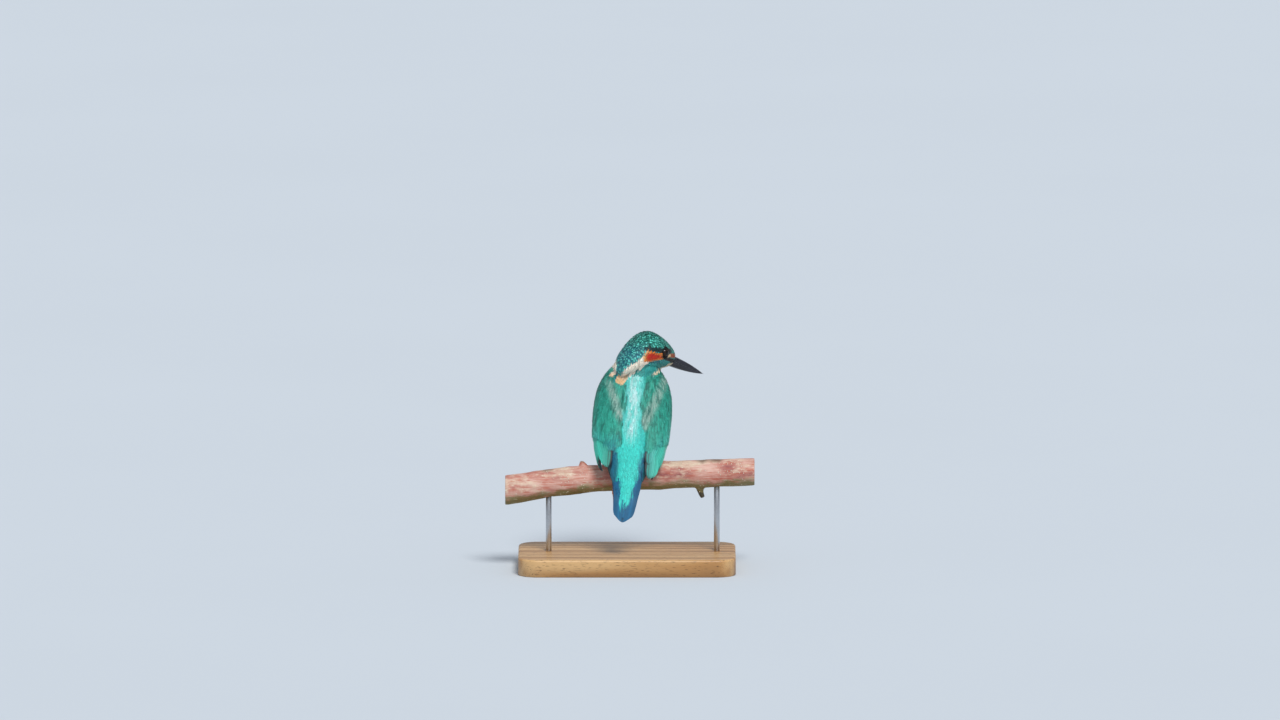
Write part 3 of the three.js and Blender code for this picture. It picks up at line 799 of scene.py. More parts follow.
def bake_places(points, part):
    """An unwrap of the body's own shape: round and along the head, or round and up the body."""
    forward, left, up = in_head(points).T
    angle, height = round_body(points)
    tail_left, tail_along, tail_back = in_tail(points).T
    head = np.isin(part, HEAD_PARTS)
    u = np.where(head, np.degrees(np.arctan2(left, up)), angle)
    v = np.where(head, np.degrees(np.arctan2(np.hypot(left, up), forward)), height)
    on_tail = part == TAIL
    u = np.where(on_tail, tail_left + np.where(tail_back > 0, 30, -30), u)
    v = np.where(on_tail, -tail_along - 20, v)
    placed = np.stack([u, v], axis=1)
    low, high = placed.min(0), placed.max(0)
    return 0.01 + 0.98 * (placed - low) / np.maximum(high - low, 1e-6)


def vane_coat(name, form, roots, normals, part, sizes, outline, paint, seed, stray):
    """One coat piece of overlapping vanes. sizes gives length, half width and depth at the roots,
    and paint gives each vane's colours over its own grid from the place where it shows."""
    rng = np.random.default_rng(seed)
    grid = (len(roots), len(VANE_ROWS), len(VANE_COLUMNS))
    length, half_width, depth = sizes
    length = length * rng.uniform(*LENGTH_SPREAD, grid[0])
    ways = lie(roots, normals, part)
    turn = np.radians(rng.normal(0, stray, grid[0]))[:, None]
    ways = unit(ways * np.cos(turn) + np.cross(normals, ways) * np.sin(turn))
    middles, facings, courses = walked(form, roots, normals, ways, length, part)
    # A vane that would bridge a fold between two parts of the body is left out.
    bends = np.sum(facings[:, 1:] * facings[:, :-1], axis=-1)
    steady = (bends > FOLD).all(1)
    middles, facings, courses, roots, part, length, half_width, depth = (
        each[steady] for each in (middles, facings, courses, roots, part, length, half_width, depth)
    )
    grid = (len(roots), *grid[1:])
    v, c = np.broadcast_to(VANE_ROWS[:, None], grid), np.broadcast_to(VANE_COLUMNS, grid)
    lift = 1 + rng.uniform(*LIFT_SPREAD, grid[0])[:, None, None]
    height = -depth[:, None, None] * (1 - v * lift) - ARCH * half_width[:, None, None] * c**2
    height = np.minimum(height, 0.1)
    thick = np.broadcast_to((0.05 + 0.04 * half_width)[:, None], grid[:2])
    widths = half_width[:, None] * outline
    points = blades(middles, facings, courses, form, widths, height, thick, VANE_COLUMNS)
    # The tip's corners are drawn back, so that each vane ends in a point or a round.
    tip = slice((grid[1] - 1) * grid[2], grid[1] * grid[2])
    drawn = -TIP_DRAWN * length[:, None] * VANE_COLUMNS**2
    points[:, tip] += courses[:, -1, None, :] * drawn[..., None]
    seen = middles[:, SEEN_ROW]
    seen_part = form.face_part[form.nearest(seen)[2]]
    seen_part = np.where(seen_part == LEG, TRUNK, seen_part)
    own = np.stack([c * 0.5, v - 0.5], axis=-1) * PATCH
    bake = bake_places(roots, part)[:, None, None, :] + own
    return blade_piece(name, points, paint(seen, seen_part, v, c, rng), c, v, bake)


def blade_piece(name, points, colours, c, v, bake):
    """One piece of many blades, from points (blade, vertex, 3) and the colours, the places across
    and along, and the places on the bake map over their grid (blade, row, column)."""
    count, per_blade = points.shape[:2]
    faces = shell_faces(*colours.shape[1:3])[None] + per_blade * np.arange(count)[:, None, None]
    obj = mesh_object(name, points.reshape(-1, 3), faces.reshape(-1, 4))
    obj.data.set_sharp_from_angle(angle=VANE_CREASE)
    put_colours(obj.data, "tint", rim_doubled(colours).reshape(-1, 3))
    put_uvs(obj.data, "OFBake", rim_doubled(bake).reshape(-1, 2))
    put_uvs(obj.data, "vane", rim_doubled(np.stack([(c + 1) / 2, v], axis=-1)).reshape(-1, 2))
    return obj


def face_share(points):
    """0 on the face and 1 on the nape, for sizes that grow towards the back of the head."""
    return ease(-in_head(points)[:, 0], -9, 12)


def head_vanes(points, part):
    """Spacing, length, half width and depth of the feathers at places on the head. The next three
    functions give the same for the other parts."""
    back = face_share(points)
    forward, _, height = in_head(points).T
    length = 2.0 + 1.9 * back + 1.0 * ease(-height, 8, 18)
    to_eye = np.min([np.linalg.norm(points - eye_ball(side)[0], axis=1) for side in SIDES], axis=0)
    short = np.minimum(length, 0.8 + 1.0 * np.maximum(to_eye - 4.4, 0))
    length = length + (short - length) * ease(forward - EYE_AHEAD, -1.5, 0.5)
    return 0.52 + 0.56 * back, length, 0.38 + 0.40 * back, coat_depth(points, part)


def body_vanes(points, part):
    angle, up = round_body(points)
    low = ease(44 - up, 0, 40)
    under = ease(np.abs(angle), 60, 90)
    gap = 0.58 + 0.08 * ease(36 - up, 0, 30) + 0.12 * under
    length = np.where(part == NECK, 4.6, 6.2 + 2.6 * low)
    return gap, length, 0.48 + 0.12 * low + 0.12 * under, coat_depth(points, part)


def wing_vanes(points, part):
    angle, up = round_body(points)
    low = ease(56 - up, 0, 26)
    gap = 0.62 + 0.14 * ease(52 - up, 0, 24)
    length = 4.4 + 3.0 * low + 2.4 * ease(46 - np.abs(angle), 0, 14)
    return gap, length, 0.50 + 0.18 * low, coat_depth(points, part) - 0.25 * low


def tail_vanes(points, part):
    along = in_tail(points)[:, 1]
    same = np.ones(len(points))
    return 0.85 * same, 8.0 + 3.0 * ease(along, 0, 14), 0.68 * same, coat_depth(points, part)


def vane_colours(look, spotted, seen, part, v, c, rng):
    """The markings where each vane shows, with a bright spot near some tips where they are spotted."""
    colour, barred = plumage(seen, part, look)
    count = len(seen)
    tone = 1 + rng.normal(0, 0.10, count)
    base = (colour * tone[:, None])[:, None, None, :] * np.ones((*v.shape, 1))
    # Each vane is darker towards its root: partly its real grey downy base and partly painted shade under
    # the vanes that overlap it.
    base = base * (0.78 + 0.22 * ease(v, 0.1, 0.6))[..., None]
    if spotted:
        dark = mix(base, look.crown_shade, (barred * 0.55)[:, None, None])
        spot = np.where(v == VANE_ROWS[SEEN_ROW], 1 - 0.85 * np.abs(c), 0.25 * ease(v, 0.9, 1))
        bright = np.asarray(look.crown_bar) * (1 + rng.normal(0, 0.16, count))[:, None, None, None]
        strong = np.where(rng.random(count) < 0.55, 1.0, 0.25)
        base = mix(dark, bright, spot * (barred * strong)[:, None, None])
    return np.clip(base, DARKEST, 1)


# ---- Skin ----
SKIN_END = 19.2  # the skin stops this far forward, inside the root of the bill
THIN_SHARE = 0.4  # the most of a thin place's thickness that the coat takes up
FOOT_SWELL = 0.06  # how far the skin of the feet lies out from their nodes
BARE_REACH = 0.45  # skin this near a leg's node is bare,
FEATHERED_REACH = 1.0  # unless it is this near the trunk


def skin_shape():
    """The points and faces of one skin inside the plumage and over the feet."""
    form = body_form()
    depth = np.minimum(coat_depth(form.points, form.part), THIN_SHARE * thickness(form))
    inner = relaxed(form.points - form.normals * depth[:, None], form.triangles, 1)
    core = bmesh.new()
    for point in inner:
        core.verts.new(point)
    core.verts.ensure_lookup_table()
    for triangle in form.triangles.tolist():
        core.faces.new([core.verts[i] for i in triangle])
    cut = bmesh.ops.bisect_plane(
        core,
        geom=core.verts[:] + core.edges[:] + core.faces[:],
        plane_co=Vector(from_head(SKIN_END, 0, 0)),
        plane_no=Vector(head_frame()[1][0]),
        clear_outer=True,
    )
    rim = [e for e in cut["geom_cut"] if isinstance(e, bmesh.types.BMEdge)]
    bmesh.ops.holes_fill(core, edges=rim)
    bmesh.ops.triangulate(core, faces=core.faces)
    parts = [freed(core)]
    for side in SIDES:
        points, triangles = node_arrays(f"leg_{side}")
        parts.append((points + vertex_normals(points, triangles) * FOOT_SWELL, triangles))
    return remeshed(parts, *SKIN_DETAIL)


# ---- Flight feathers ----
FEATHER_ROWS = np.linspace(0, 1, 18)
FEATHER_COLUMNS = np.linspace(-1, 1, 9)
WING_FEATHERS = 21
SECONDARIES = 13  # the rest are primaries
TAIL_FEATHERS = 12
WING_SEED, TAIL_SEED = 40, 51
# The lines of a folded wing's feathers.
FOLLOWED = 70  # the places at which a line is followed down the wing
ROOT_UP, LINE_DROP = 42, 45  # the height of the feathers' roots, and how far down they are followed
OUTER_EDGE = 100  # degrees round the body to the outermost feather
EVENED = 6  # the rounds in which a line is evened out
WING_LOW = {1: 7.0, -1: 2.0}  # the height that the left and the right wing's feathers reach down to
FLANK_SIDE = (12.5, 14.5)  # a line that ends this far out can run on over the flank
INNER_PLACE = 0.72  # and only the feathers from the back to here do
SHORTEST, RUN_PLACES = 0.5, 29  # the least run, which every line has, and the places along it
# The fan of the tail.
TAIL_ROOT = 3.0  # how far down the tail's node its feathers start
ROOT_SPREAD, TIP_NARROWING = 8.2, 4.4  # the fan's half width at its root, and how much is lost
UNDER_SHORT = 2.5  # how much shorter the lower side's feathers are
VANE_TURN = 0.05  # how far a feather's facing turns outwards with its place


def feather_piece(name, points, colours):
    """One piece of many long feathers, each with a lane of its own on the bake map."""
    grid = (len(points), len(FEATHER_ROWS), len(FEATHER_COLUMNS))
    colours = np.broadcast_to(np.clip(colours, DARKEST, 1), (*grid, 3))
    v, c = np.broadcast_to(FEATHER_ROWS[:, None], grid), np.broadcast_to(FEATHER_COLUMNS, grid)
    lane = (np.arange(grid[0])[:, None, None] + 0.5 + 0.45 * c) / grid[0]
    return blade_piece(name, points, colours, c, v, np.stack([lane, 0.02 + 0.96 * v], axis=-1))


def courses_along(middles, normals):
    return across(np.gradient(middles, axis=1), normals)


BLUNT = 0.8  # where along a long feather its rounded tip starts


def blade_outline(v):
    """The half width of a long feather along its length: narrow quill, full blade, rounded tip."""
    root = 0.3 + 0.7 * ease(v, 0.0, 0.22)
    return root * np.sqrt(1 - np.clip((v - BLUNT) / (1 - BLUNT), 0, 0.992) ** 2)


def wing_line(form, code, side, place):
    """The middle line of a long feather at a place from 0, beside the back, to 1, at the wing's
    outer edge. Where the folded wing ends high up, the inner feathers run on over the flank.
    Returns places, normals, heights and how free of the form they are, for FEATHER_ROWS."""
    share = np.linspace(0, 1, FOLLOWED)
    edge = 19 - 6 * side
    angle = (edge + (OUTER_EDGE - edge) * place - 10 * place * share**0.9) * side
    places, facing, part = form.seen_from(angle, ROOT_UP - LINE_DROP * share)
    for _ in range(EVENED):
        places[1:-1] = (places[:-2] + 2 * places[1:-1] + places[2:]) / 4
        facing[1:-1] = unit(facing[:-2] + 2 * facing[1:-1] + facing[2:])
    # The line ends a little before the place where the wing does.
    beyond = np.flatnonzero((part != code) & (share > 0.2))
    last = (beyond[0] if len(beyond) else FOLLOWED) - 3
    beside, _, height = in_body(places[last : last + 1])[0]
    over_flank = height - WING_LOW[side] - 7 * max(place - 0.3, 0)
    over_flank *= ease(abs(beside), *FLANK_SIDE) * ease(INNER_PLACE - place, 0, 0.2)
    run_on = np.linspace(0, max(over_flank, SHORTEST), RUN_PLACES + 1)[1:, None]
    places = np.concatenate([places[: last + 1], places[last] + body_vector(*LIE_DOWN) * run_on])
    facing = np.concatenate([facing[: last + 1], np.repeat(facing[last : last + 1], RUN_PLACES, axis=0)])
    run = np.concatenate([[0], np.cumsum(np.linalg.norm(np.diff(places, axis=0), axis=1))])
    wanted = FEATHER_ROWS * run[-1]
    line, normal = (
        np.stack([np.interp(wanted, run, axis) for axis in values.T], axis=1) for values in (places, facing)
    )
    return line, unit(normal), in_body(line)[:, 2], ease(wanted - run[last], 0, 2)


def wing_feathers(side_name, look):
    """The secondaries and primaries of one folded wing, each tucked under its inner neighbour."""
    side, form = SIDES[side_name], body_form()
    v, c = FEATHER_ROWS, FEATHER_COLUMNS
    order = np.linspace(0, 1, WING_FEATHERS)
    lines = [wing_line(form, PARTS[f"wing_{side_name}"], side, place) for place in order]
    middles, normals, ups, free = (np.array(each) for each in zip(*lines))
    primary = np.arange(WING_FEATHERS) >= SECONDARIES
    widths = np.where(primary, 2.1, 2.7)[:, None] * blade_outline(v)
    outer = -c * side  # 1 at a feather's outer edge
    sunk = -0.85 * ease(ups, 21, 30)
    height = sunk[:, :, None] - 0.27 * (1 - outer) - 0.05
    thick = np.full(widths.shape, 0.12)
    courses = courses_along(middles, normals)
    points = blades(middles, normals, courses, form, widths, height, thick, c, free)
    rng = np.random.default_rng(WING_SEED + side)
    tone = 1 + rng.normal(0, 0.09, WING_FEATHERS)[:, None, None, None]
    kind, place, along = primary[:, None, None], order[:, None, None], v[:, None]
    web = mix(look.wing, look.wing_light, 0.9 * ease(place, 0.25, 0.6))
    web = mix(web, look.wing_blue, 0.35 * ease(1 - place, 0.5, 1))
    web = mix(web, look.wing_fringe, 0.5 * ease(outer, 0.7, 1.0))
    shown = ease(outer + 0.75 * kind + 0.6 * free[:, :, None], -0.15, 0.3)
    tip = np.where(kind, ease(along, 0.82, 0.95), 0.6 * ease(along, 0.93, 1.0))
    colours = mix(look.flight, web, shown * (1 - tip)) * tone
    colours = mix(colours, look.flight, 0.7 * np.exp(-((c / 0.09) ** 2)))
    return feather_piece(f"feathers_wing_{side_name}", points, colours)


def tail_feathers(look):
    """The closed fan of tail feathers, the middle pair on top, seen from above and from below."""
    form = body_form()
    left, along, _ = in_tail(node_arrays("tail")[0]).T
    length = along.max()
    _, axes = tail_frame()
    tip_middle = left[along > length - 4].mean()
    v, c = FEATHER_ROWS, FEATHER_COLUMNS
    reach = np.linspace(2, length - 1.5, 12)
    places = np.linspace(-1, 1, TAIL_FEATHERS)
    middles, normals, heights = [], [], []
    for face in (1, -1):
        tops = []
        for level in reach:
            hit = form.tree.ray_cast(Vector(from_tail(0.0, level, 14.0 * face)), Vector(-axes[2] * face))
            tops.append(in_tail(np.array(hit[0]))[2])
        curve = np.polyfit(reach, tops, 2)
        for place in places:
            end = length * (1 - 0.085 * abs(place) ** 1.7)
            run = TAIL_ROOT + (end - TAIL_ROOT - UNDER_SHORT * (face < 0)) * v
            x = place * (ROOT_SPREAD - TIP_NARROWING * run / length) + tip_middle * run / length
            inset = face * (0.02 * x**2 + 0.2 * (1 - v))
            middles.append(from_tail(x, run, np.polyval(curve, run) - inset))
            normals.append(unit(face * axes[2] + VANE_TURN * x[:, None] * axes[0]))
            # The inner edge is tucked under the neighbour nearer the middle.
            tucked = (1 + np.sign(place) * face * c) / 2
            sunk = 0.5 * ease(24 - run, 0, 8)
            flat = 0.5 - 0.36 * ease(v, 0.55, 0.95)
            heights.append(-flat[:, None] * tucked - sunk[:, None] - 0.05 * abs(place))
    middles, normals, height = np.array(middles), np.array(normals), np.array(heights)
    widths = np.tile(2.7 * blade_outline(v), (len(middles), 1))
    thick = np.full(widths.shape, 0.13)
    points = blades(middles, normals, courses_along(middles, normals), None, widths, height, thick, c)
    rng = np.random.default_rng(TAIL_SEED)
    shape = (len(middles), len(v), len(c))
    above = (np.arange(shape[0]) < TAIL_FEATHERS)[:, None, None, None]
    grid = points[:, : len(v) * len(c)].reshape(-1, 3)
    marked = plumage(grid, np.full(len(grid), TAIL), look)[0].reshape(*shape, 3)
    outermost = np.tile(np.abs(places), 2)[:, None, None]
    blue = 0.6 * ease(outermost, 0.4, 0.9) * (1 - 0.5 * ease(v, 0.7, 1)[:, None])
    colours = np.where(above, mix(marked, look.tail_side, blue), look.tail_under)
    colours = colours * (1 + rng.normal(0, 0.10, shape[0]))[:, None, None, None]
    colours = mix(colours, look.flight, 0.7 * np.exp(-((c / 0.08) ** 2)))
    return feather_piece("feathers_tail", points, colours)


# ---- Bill ----
BILL_RINGS, BILL_ARCH, BILL_FLOOR = 72, 41, 11  # rings along, and places over and under each
NOSTRIL_REACH = np.array([2.0, 1.6, 0.5])  # half the size of a nostril's hollow
NOSTRIL_DEPTH = 0.75
BILL_CREASE = math.radians(48)  # the cutting edges are sharper than this


def mandible(name, side, nostril=None):
    """One half of the bill as a smooth closed loft between its feather edge and its tip."""
    forward, left, up = in_head(node_arrays(name)[0]).T
    root, tip = forward.min(), forward.max()
    half_width = np.abs(left).max()
    edge = up[forward < root + 1]
    base_line = edge.min() if side > 0 else edge.max()
    depth = edge.max() - edge.min()
    tip_line = up[forward > tip - 0.6].mean()
    t = np.sin(np.linspace(0, math.pi / 2, BILL_RINGS)) ** 1.15
    arch = np.linspace(0, math.pi, BILL_ARCH)
    floor = np.linspace(-1, 1, BILL_FLOOR + 2)[1:-1]
    rings = []
    for share in t:
        taper = max(0.025, (1 - share**2.3) ** 0.9)
        wide = half_width * max(0.03, 1 - share**1.25)
        line = base_line + (tip_line - base_line - side * 0.1) * share
        x = np.concatenate([-np.cos(arch), -floor]) * wide
        rise = np.abs(np.sin(arch)) ** 0.85 * depth * taper
        hollow = 0.12 * (1 - floor**2) * min(wide, 1.5)
        z = line + side * np.concatenate([rise, hollow])
        rings.append(np.stack([np.full(len(x), root + (tip - root) * share), x, z], axis=1))
    points = np.array(rings)
    if nostril:
        for turn in (1, -1):
            off = (points - np.multiply(nostril, (1, turn, 1))) / NOSTRIL_REACH
            dent = np.clip(1 - (off**2).sum(-1), 0, 1)
            points[..., 1] -= turn * NOSTRIL_DEPTH * dent
    centre, axes = head_frame()
    obj = rings_object(name + "_horn", centre + points @ axes)
    obj.data.set_sharp_from_angle(angle=BILL_CREASE)
    return obj


# ---- Eyes and lids ----
def eye_ball(side_name):
    """The centre and the radius of an eye in the frame."""
    low, high = node_box(f"eye_{side_name}")
    return (low + high) / 2, (high - low).mean() / 2


def gaze(side_name):
    """Three unit vectors at an eye: out through the pupil, forward and up."""
    _, axes = head_frame()
    out = unit(axes[1] * SIDES[side_name] + axes[0] * 0.22 + axes[2] * 0.06)
    forward = across(axes[0], out)
    return out, forward, np.cross(out, forward) * SIDES[side_name]


def round_eye(side_name, turn, polar, distance):
    """Places round an eye: turn goes round its gaze and polar away from it, both as angles."""
    out, forward, up = gaze(side_name)
    ring = np.cos(turn)[..., None] * forward + np.sin(turn)[..., None] * up
    way = np.sin(polar)[..., None] * ring + np.cos(polar)[..., None] * out
    return eye_ball(side_name)[0] + distance[..., None] * way


EYE_RINGS, EYE_AROUND = 40, 64
CORNEA_BULGE, CORNEA_EDGE = 0.16, math.radians(50)
LID_AROUND, LID_HALF = 72, 7  # places round a lid, and over and under its roll


def eyeball(side_name):
    """A ball whose cornea bulges a little, with the angle off its gaze for the iris."""
    centre, radius = eye_ball(side_name)
    out, _, _ = gaze(side_name)
    polar = np.linspace(0, math.pi, EYE_RINGS + 1)[1:-1]
    white = radius - CORNEA_BULGE
    bulge = white + CORNEA_BULGE * np.cos(np.clip(polar / CORNEA_EDGE, 0, 1) * math.pi / 2)
    points = round_eye(side_name, whole_turn(EYE_AROUND)[None], polar[:, None], bulge[:, None])
    obj = rings_object(f"eyeball_{side_name}", points, (centre + out * radius, centre - out * white))
    put_values(obj.data, "polar", np.degrees([*np.repeat(polar, EYE_AROUND), 0, math.pi]))
    return obj


def lids(side_name):
    """The rim of bare skin round an eye: a soft roll that is drawn out to two corners."""
    turn = whole_turn(LID_AROUND)
    corner = np.abs(np.cos(turn)) ** 3
    inner = np.radians(45.5 + 3.5 * corner - 2.5 * np.clip(np.sin(turn), 0, 1))
    outer = np.radians(55.5 + 4 * corner)
    out_share = np.linspace(0, 1, LID_HALF)
    share = np.concatenate([out_share, out_share[::-1]])
    roll = 0.02 + 0.13 * np.sin(math.pi * np.clip(out_share, 0.04, 1)) ** 0.7
    roll = roll + 0.015 * np.cos(out_share * 5 * math.pi)
    lift = np.concatenate([roll, np.full(LID_HALF, -0.12)])
    polar = inner[:, None] + (outer - inner)[:, None] * share[None, :]
    points = round_eye(side_name, turn[:, None], polar, eye_ball(side_name)[1] + lift[None, :])
    index = np.arange(polar.size).reshape(polar.shape)
    beside, after = np.roll(index, -1, axis=0), np.roll(index, -1, axis=1)
    both = np.roll(beside, -1, axis=1)
    faces = np.stack([index, beside, both, after], axis=-1).reshape(-1, 4)
    return outwards(mesh_object(f"eyelids_{side_name}", points.reshape(-1, 3), faces))


# ---- Branch ----
END_REACH = 0.9  # the sawn faces' rims lie this near the branch's ends


def round_branch(points):
    """How high each point lies on the branch, from -1 at its under side to 1 at its upper side,
    and beyond that on the stub and the bud."""
    level = np.arange(points[:, 0].min(), points[:, 0].max(), 4.0)
    spans = []
    for x in level:
        near = points[np.abs(points[:, 0] - x) < 4]
        spans.append((np.median(near[:, 2]), np.ptp(near[:, 1]) / 2))
    middle, radius = np.array(spans).T
    return (points[:, 2] - np.interp(points[:, 0], level, middle)) / np.interp(points[:, 0], level, radius)


def branch():
    """The branch's bark with its small swellings, and its two sawn ends as flat faces."""
    points, faces = remeshed([node_arrays("perch")], *BARK_DETAIL)
    ends = [corner[0] for corner in node_box("perch")]
    normals = vertex_normals(points, faces)
    low = round_branch(points)
    inside = ease(np.minimum(points[:, 0] - ends[0], ends[1] - points[:, 0]), 0.6, 2.5)
    long = np.array([0.35, 1, 1])
    rough = 0.16 * noise(points * long, 3.2, 11) + 0.10 * noise(points * long, 1.5, 12)
    rough = np.minimum(rough + 0.22 * noise(points * np.array([0.2, 1, 1]), 9, 13), 0.22)
    rough = rough - 0.5 * ease(-low, 1.15, 1.5) * np.abs(noise(points, 1.7, 14))
    points = points + normals * (rough * inside)[:, None]
    for end, inward in zip(ends, (1, -1)):
        near = (np.abs(points[:, 0] - end) < END_REACH) & (np.abs(normals[:, 0]) > 0.5)
        points[near, 0] = end + inward * 0.02
    obj = mesh_object("branch_bark", points, faces)
    facing = unit(face_vectors(points, faces))
    to_end = np.abs(points[faces].mean(1)[:, :1] - np.array(ends)).min(1)
    sawn = (np.abs(facing[:, 0]) > 0.7) & (to_end < END_REACH)
    obj.data.polygons.foreach_set("material_index", sawn.astype(np.int32))
    put_values(obj.data, "low", low)
    return obj


# ---- Nodes ----
def lumps(size):
    """The scale of a pattern whose lumps are that many millimetres across."""
    return 1 / (size * MM)


def give(tree, node, inputs):
    """Sets a node's inputs: to a value, or linked to a socket or to a node's first output."""
    for key, value in inputs.items():
        if isinstance(value, bpy.types.Node):
            value = value.outputs[0]
        if isinstance(value, bpy.types.NodeSocket):
            tree.links.new(value, node.inputs[key])
        else:
            node.inputs[key].default_value = value


def add_node(tree, kind, inputs=None, stops=(), **settings):
    """Adds a node with its settings, its inputs and, on a colour ramp, its stops."""
    node = tree.nodes.new(kind)
    for key, value in settings.items():
        setattr(node, key, value)
    for k, (place, colour) in enumerate(stops):
        ramp = node.color_ramp.elements
        element = ramp[k] if k < len(ramp) else ramp.new(1.0)
        element.position = place
        element.color = with_alpha(colour)
    give(tree, node, inputs or {})
    return node


def strewn_tree(name, material, least, most):
    """A tree that strews small domed plates over the host's marked faces, drawn out along one way,
    each between least and most times the size that is given."""
    tree = bpy.data.node_groups.new(name, "GeometryNodeTree")
    add = functools.partial(add_node, tree)
    inputs = {"Geometry": "Geometry", **dict.fromkeys(("Spacing", "Length", "Width", "Height"), "Float")}
    for label, kind in {**inputs, "Seed": "Int"}.items():
        tree.interface.new_socket(label, in_out="INPUT", socket_type=f"NodeSocket{kind}")
    tree.interface.new_socket("Geometry", in_out="OUTPUT", socket_type="NodeSocketGeometry")
    given = add("NodeGroupInput").outputs
    marked = add("GeometryNodeInputNamedAttribute", {"Name": "strewn"}, data_type="FLOAT")
    way = add("GeometryNodeInputNamedAttribute", {"Name": "way"}, data_type="FLOAT_VECTOR")
    host = {"Mesh": given["Geometry"], "Distance Min": given["Spacing"], "Seed": given["Seed"]}
    strew = add(
        "GeometryNodeDistributePointsOnFaces",
        {**host, "Density Max": MOST_DENSE, "Density Factor": marked},
        distribute_method="POISSON",
    )
    aligned = add(
        "FunctionNodeAlignRotationToVector",
        {"Rotation": strew.outputs["Rotation"], "Vector": way},
        axis="X",
        pivot_axis="Z",
    )
    plate = add("GeometryNodeMeshIcoSphere", {"Radius": 0.5, "Subdivisions": 1})
    size = add("ShaderNodeCombineXYZ", {"X": given["Length"], "Y": given["Width"], "Z": given["Height"]})
    spread = {"Min": least, "Max": most, "Seed": given["Seed"]}
    change = add("FunctionNodeRandomValue", spread, data_type="FLOAT").outputs[1]
    scale = add("ShaderNodeVectorMath", {0: size, "Scale": change}, operation="SCALE")
    placing = {"Points": strew, "Instance": plate, "Rotation": aligned, "Scale": scale}
    real = add("GeometryNodeRealizeInstances", {"Geometry": add("GeometryNodeInstanceOnPoints", placing)})
    coated = add("GeometryNodeSetMaterial", {"Geometry": real, "Material": material})
    add("NodeGroupOutput", {"Geometry": coated})
    return tree


def strewn(name, host, tree, sizes):
    """A plain mesh of what a tree strews over a host, with its inputs in millimetres."""
    obj = host.copy()
    obj.data = host.data.copy()
    bpy.context.scene.collection.objects.link(obj)
    modifier = obj.modifiers.new("strewn", "NODES")
    modifier.node_group = tree
    for item in tree.interface.items_tree:
        if item.item_type == "SOCKET" and item.in_out == "INPUT" and item.name in sizes:
            value = sizes[item.name]
            modifier[item.identifier] = value if isinstance(value, int) else value * MM
    obj.name = name
    applied(obj)
    obj.data.polygons.foreach_set("use_smooth", [True] * len(obj.data.polygons))
    return obj


# ---- Materials ----
def new_material(name):
    """A material, a way to add nodes to it, a way to set its shader's inputs, and its object
    coordinates."""
    material = bpy.data.materials.new(name)
    material.use_nodes = True
    tree = material.node_tree
    tree.nodes.clear()
    add = functools.partial(add_node, tree)
    shader = add("ShaderNodeBsdfPrincipled")
    add("ShaderNodeOutputMaterial", {"Surface": shader})
    place = add("ShaderNodeTexCoord").outputs["Object"]
    return material, add, functools.partial(give, tree, shader), place


def shades(colour, *steps):
    """Colour stops of one colour, each as a place on the ramp and how many times as bright."""
    return [(place, np.minimum(np.multiply(colour, times), 1)) for place, times in steps]


def layered(add, colour, layers):
    """A colour with layers over it, each given as what shows it, where that starts to show it and
    shows it fully, how strong it then is, and its colour. Also how far the last layer shows."""
    for shown, start, end, most, layer in layers:
        span = {"Value": shown, "From Min": start, "From Max": end, "To Max": most}
        share = add("ShaderNodeMapRange", span)
        both = {0: share, MIX_A: colour, MIX_B: with_alpha(layer)}
        colour = add("ShaderNodeMix", both, data_type="RGBA").outputs[MIX_OUT]
    return colour, share


def mottled_material(name, grain, stops, inputs, bump=None):
    """A finish whose colour wanders over its stops in lumps of grain millimetres, with other
    inputs of its shader and, where the lumps are felt, their strength and height."""
    material, add, shade, place = new_material(name)
    lump = add("ShaderNodeTexNoise", {"Vector": place, "Scale": lumps(grain), "Detail": 3.0})
    shade({"Base Color": add("ShaderNodeValToRGB", {"Fac": lump}, stops), **inputs})
    if bump:
        strength, distance = bump
        relief = {"Strength": strength, "Distance": distance * MM, "Height": lump}
        shade({"Normal": add("ShaderNodeBump", relief)})
    return material


BARBS = 12  # along a vane, because real ones, about 0.1 mm apart, are too fine to show


@functools.cache
def feather_material():
    """Feather keratin: barbs side by side give a soft, silky gloss over the structural colour."""
    material, add, shade, place = new_material("feather_keratin")
    tint = add("ShaderNodeVertexColor", layer_name="tint")
    split = add("ShaderNodeSeparateXYZ", {"Vector": add("ShaderNodeUVMap", uv_map="vane")})
    off = add("ShaderNodeMath", {0: split.outputs["X"], 1: 0.5}, operation="SUBTRACT")
    reach = add("ShaderNodeMath", {0: off}, operation="ABSOLUTE")
    slant = add("ShaderNodeMath", {0: reach, 1: -0.9, 2: split.outputs["Y"]}, operation="MULTIPLY_ADD")
    barbs = add("ShaderNodeMath", {0: slant, 1: BARBS * math.tau}, operation="MULTIPLY")
    wave = add("ShaderNodeMath", {0: barbs}, operation="SINE")
    fine = add("ShaderNodeTexNoise", {"Vector": place, "Scale": lumps(1.1), "Detail": 2.0})
    tone = add("ShaderNodeMath", {0: wave, 1: 0.10, 2: 0.98}, operation="MULTIPLY_ADD")
    grain = add("ShaderNodeMath", {0: fine, 1: 0.25, 2: 0.88}, operation="MULTIPLY_ADD")
    value = add("ShaderNodeMath", {0: tone, 1: grain}, operation="MULTIPLY")
    colour = add("ShaderNodeVectorMath", {0: tint, "Scale": value}, operation="SCALE")
    bump = add("ShaderNodeBump", {"Strength": 0.35, "Distance": 0.06 * MM, "Height": wave})
    shade({"Base Color": colour, "Normal": bump, "Roughness": 0.46, "Specular IOR Level": 0.45})
    shade({"Sheen Weight": 0.12, "Sheen Roughness": 0.35})
    return material


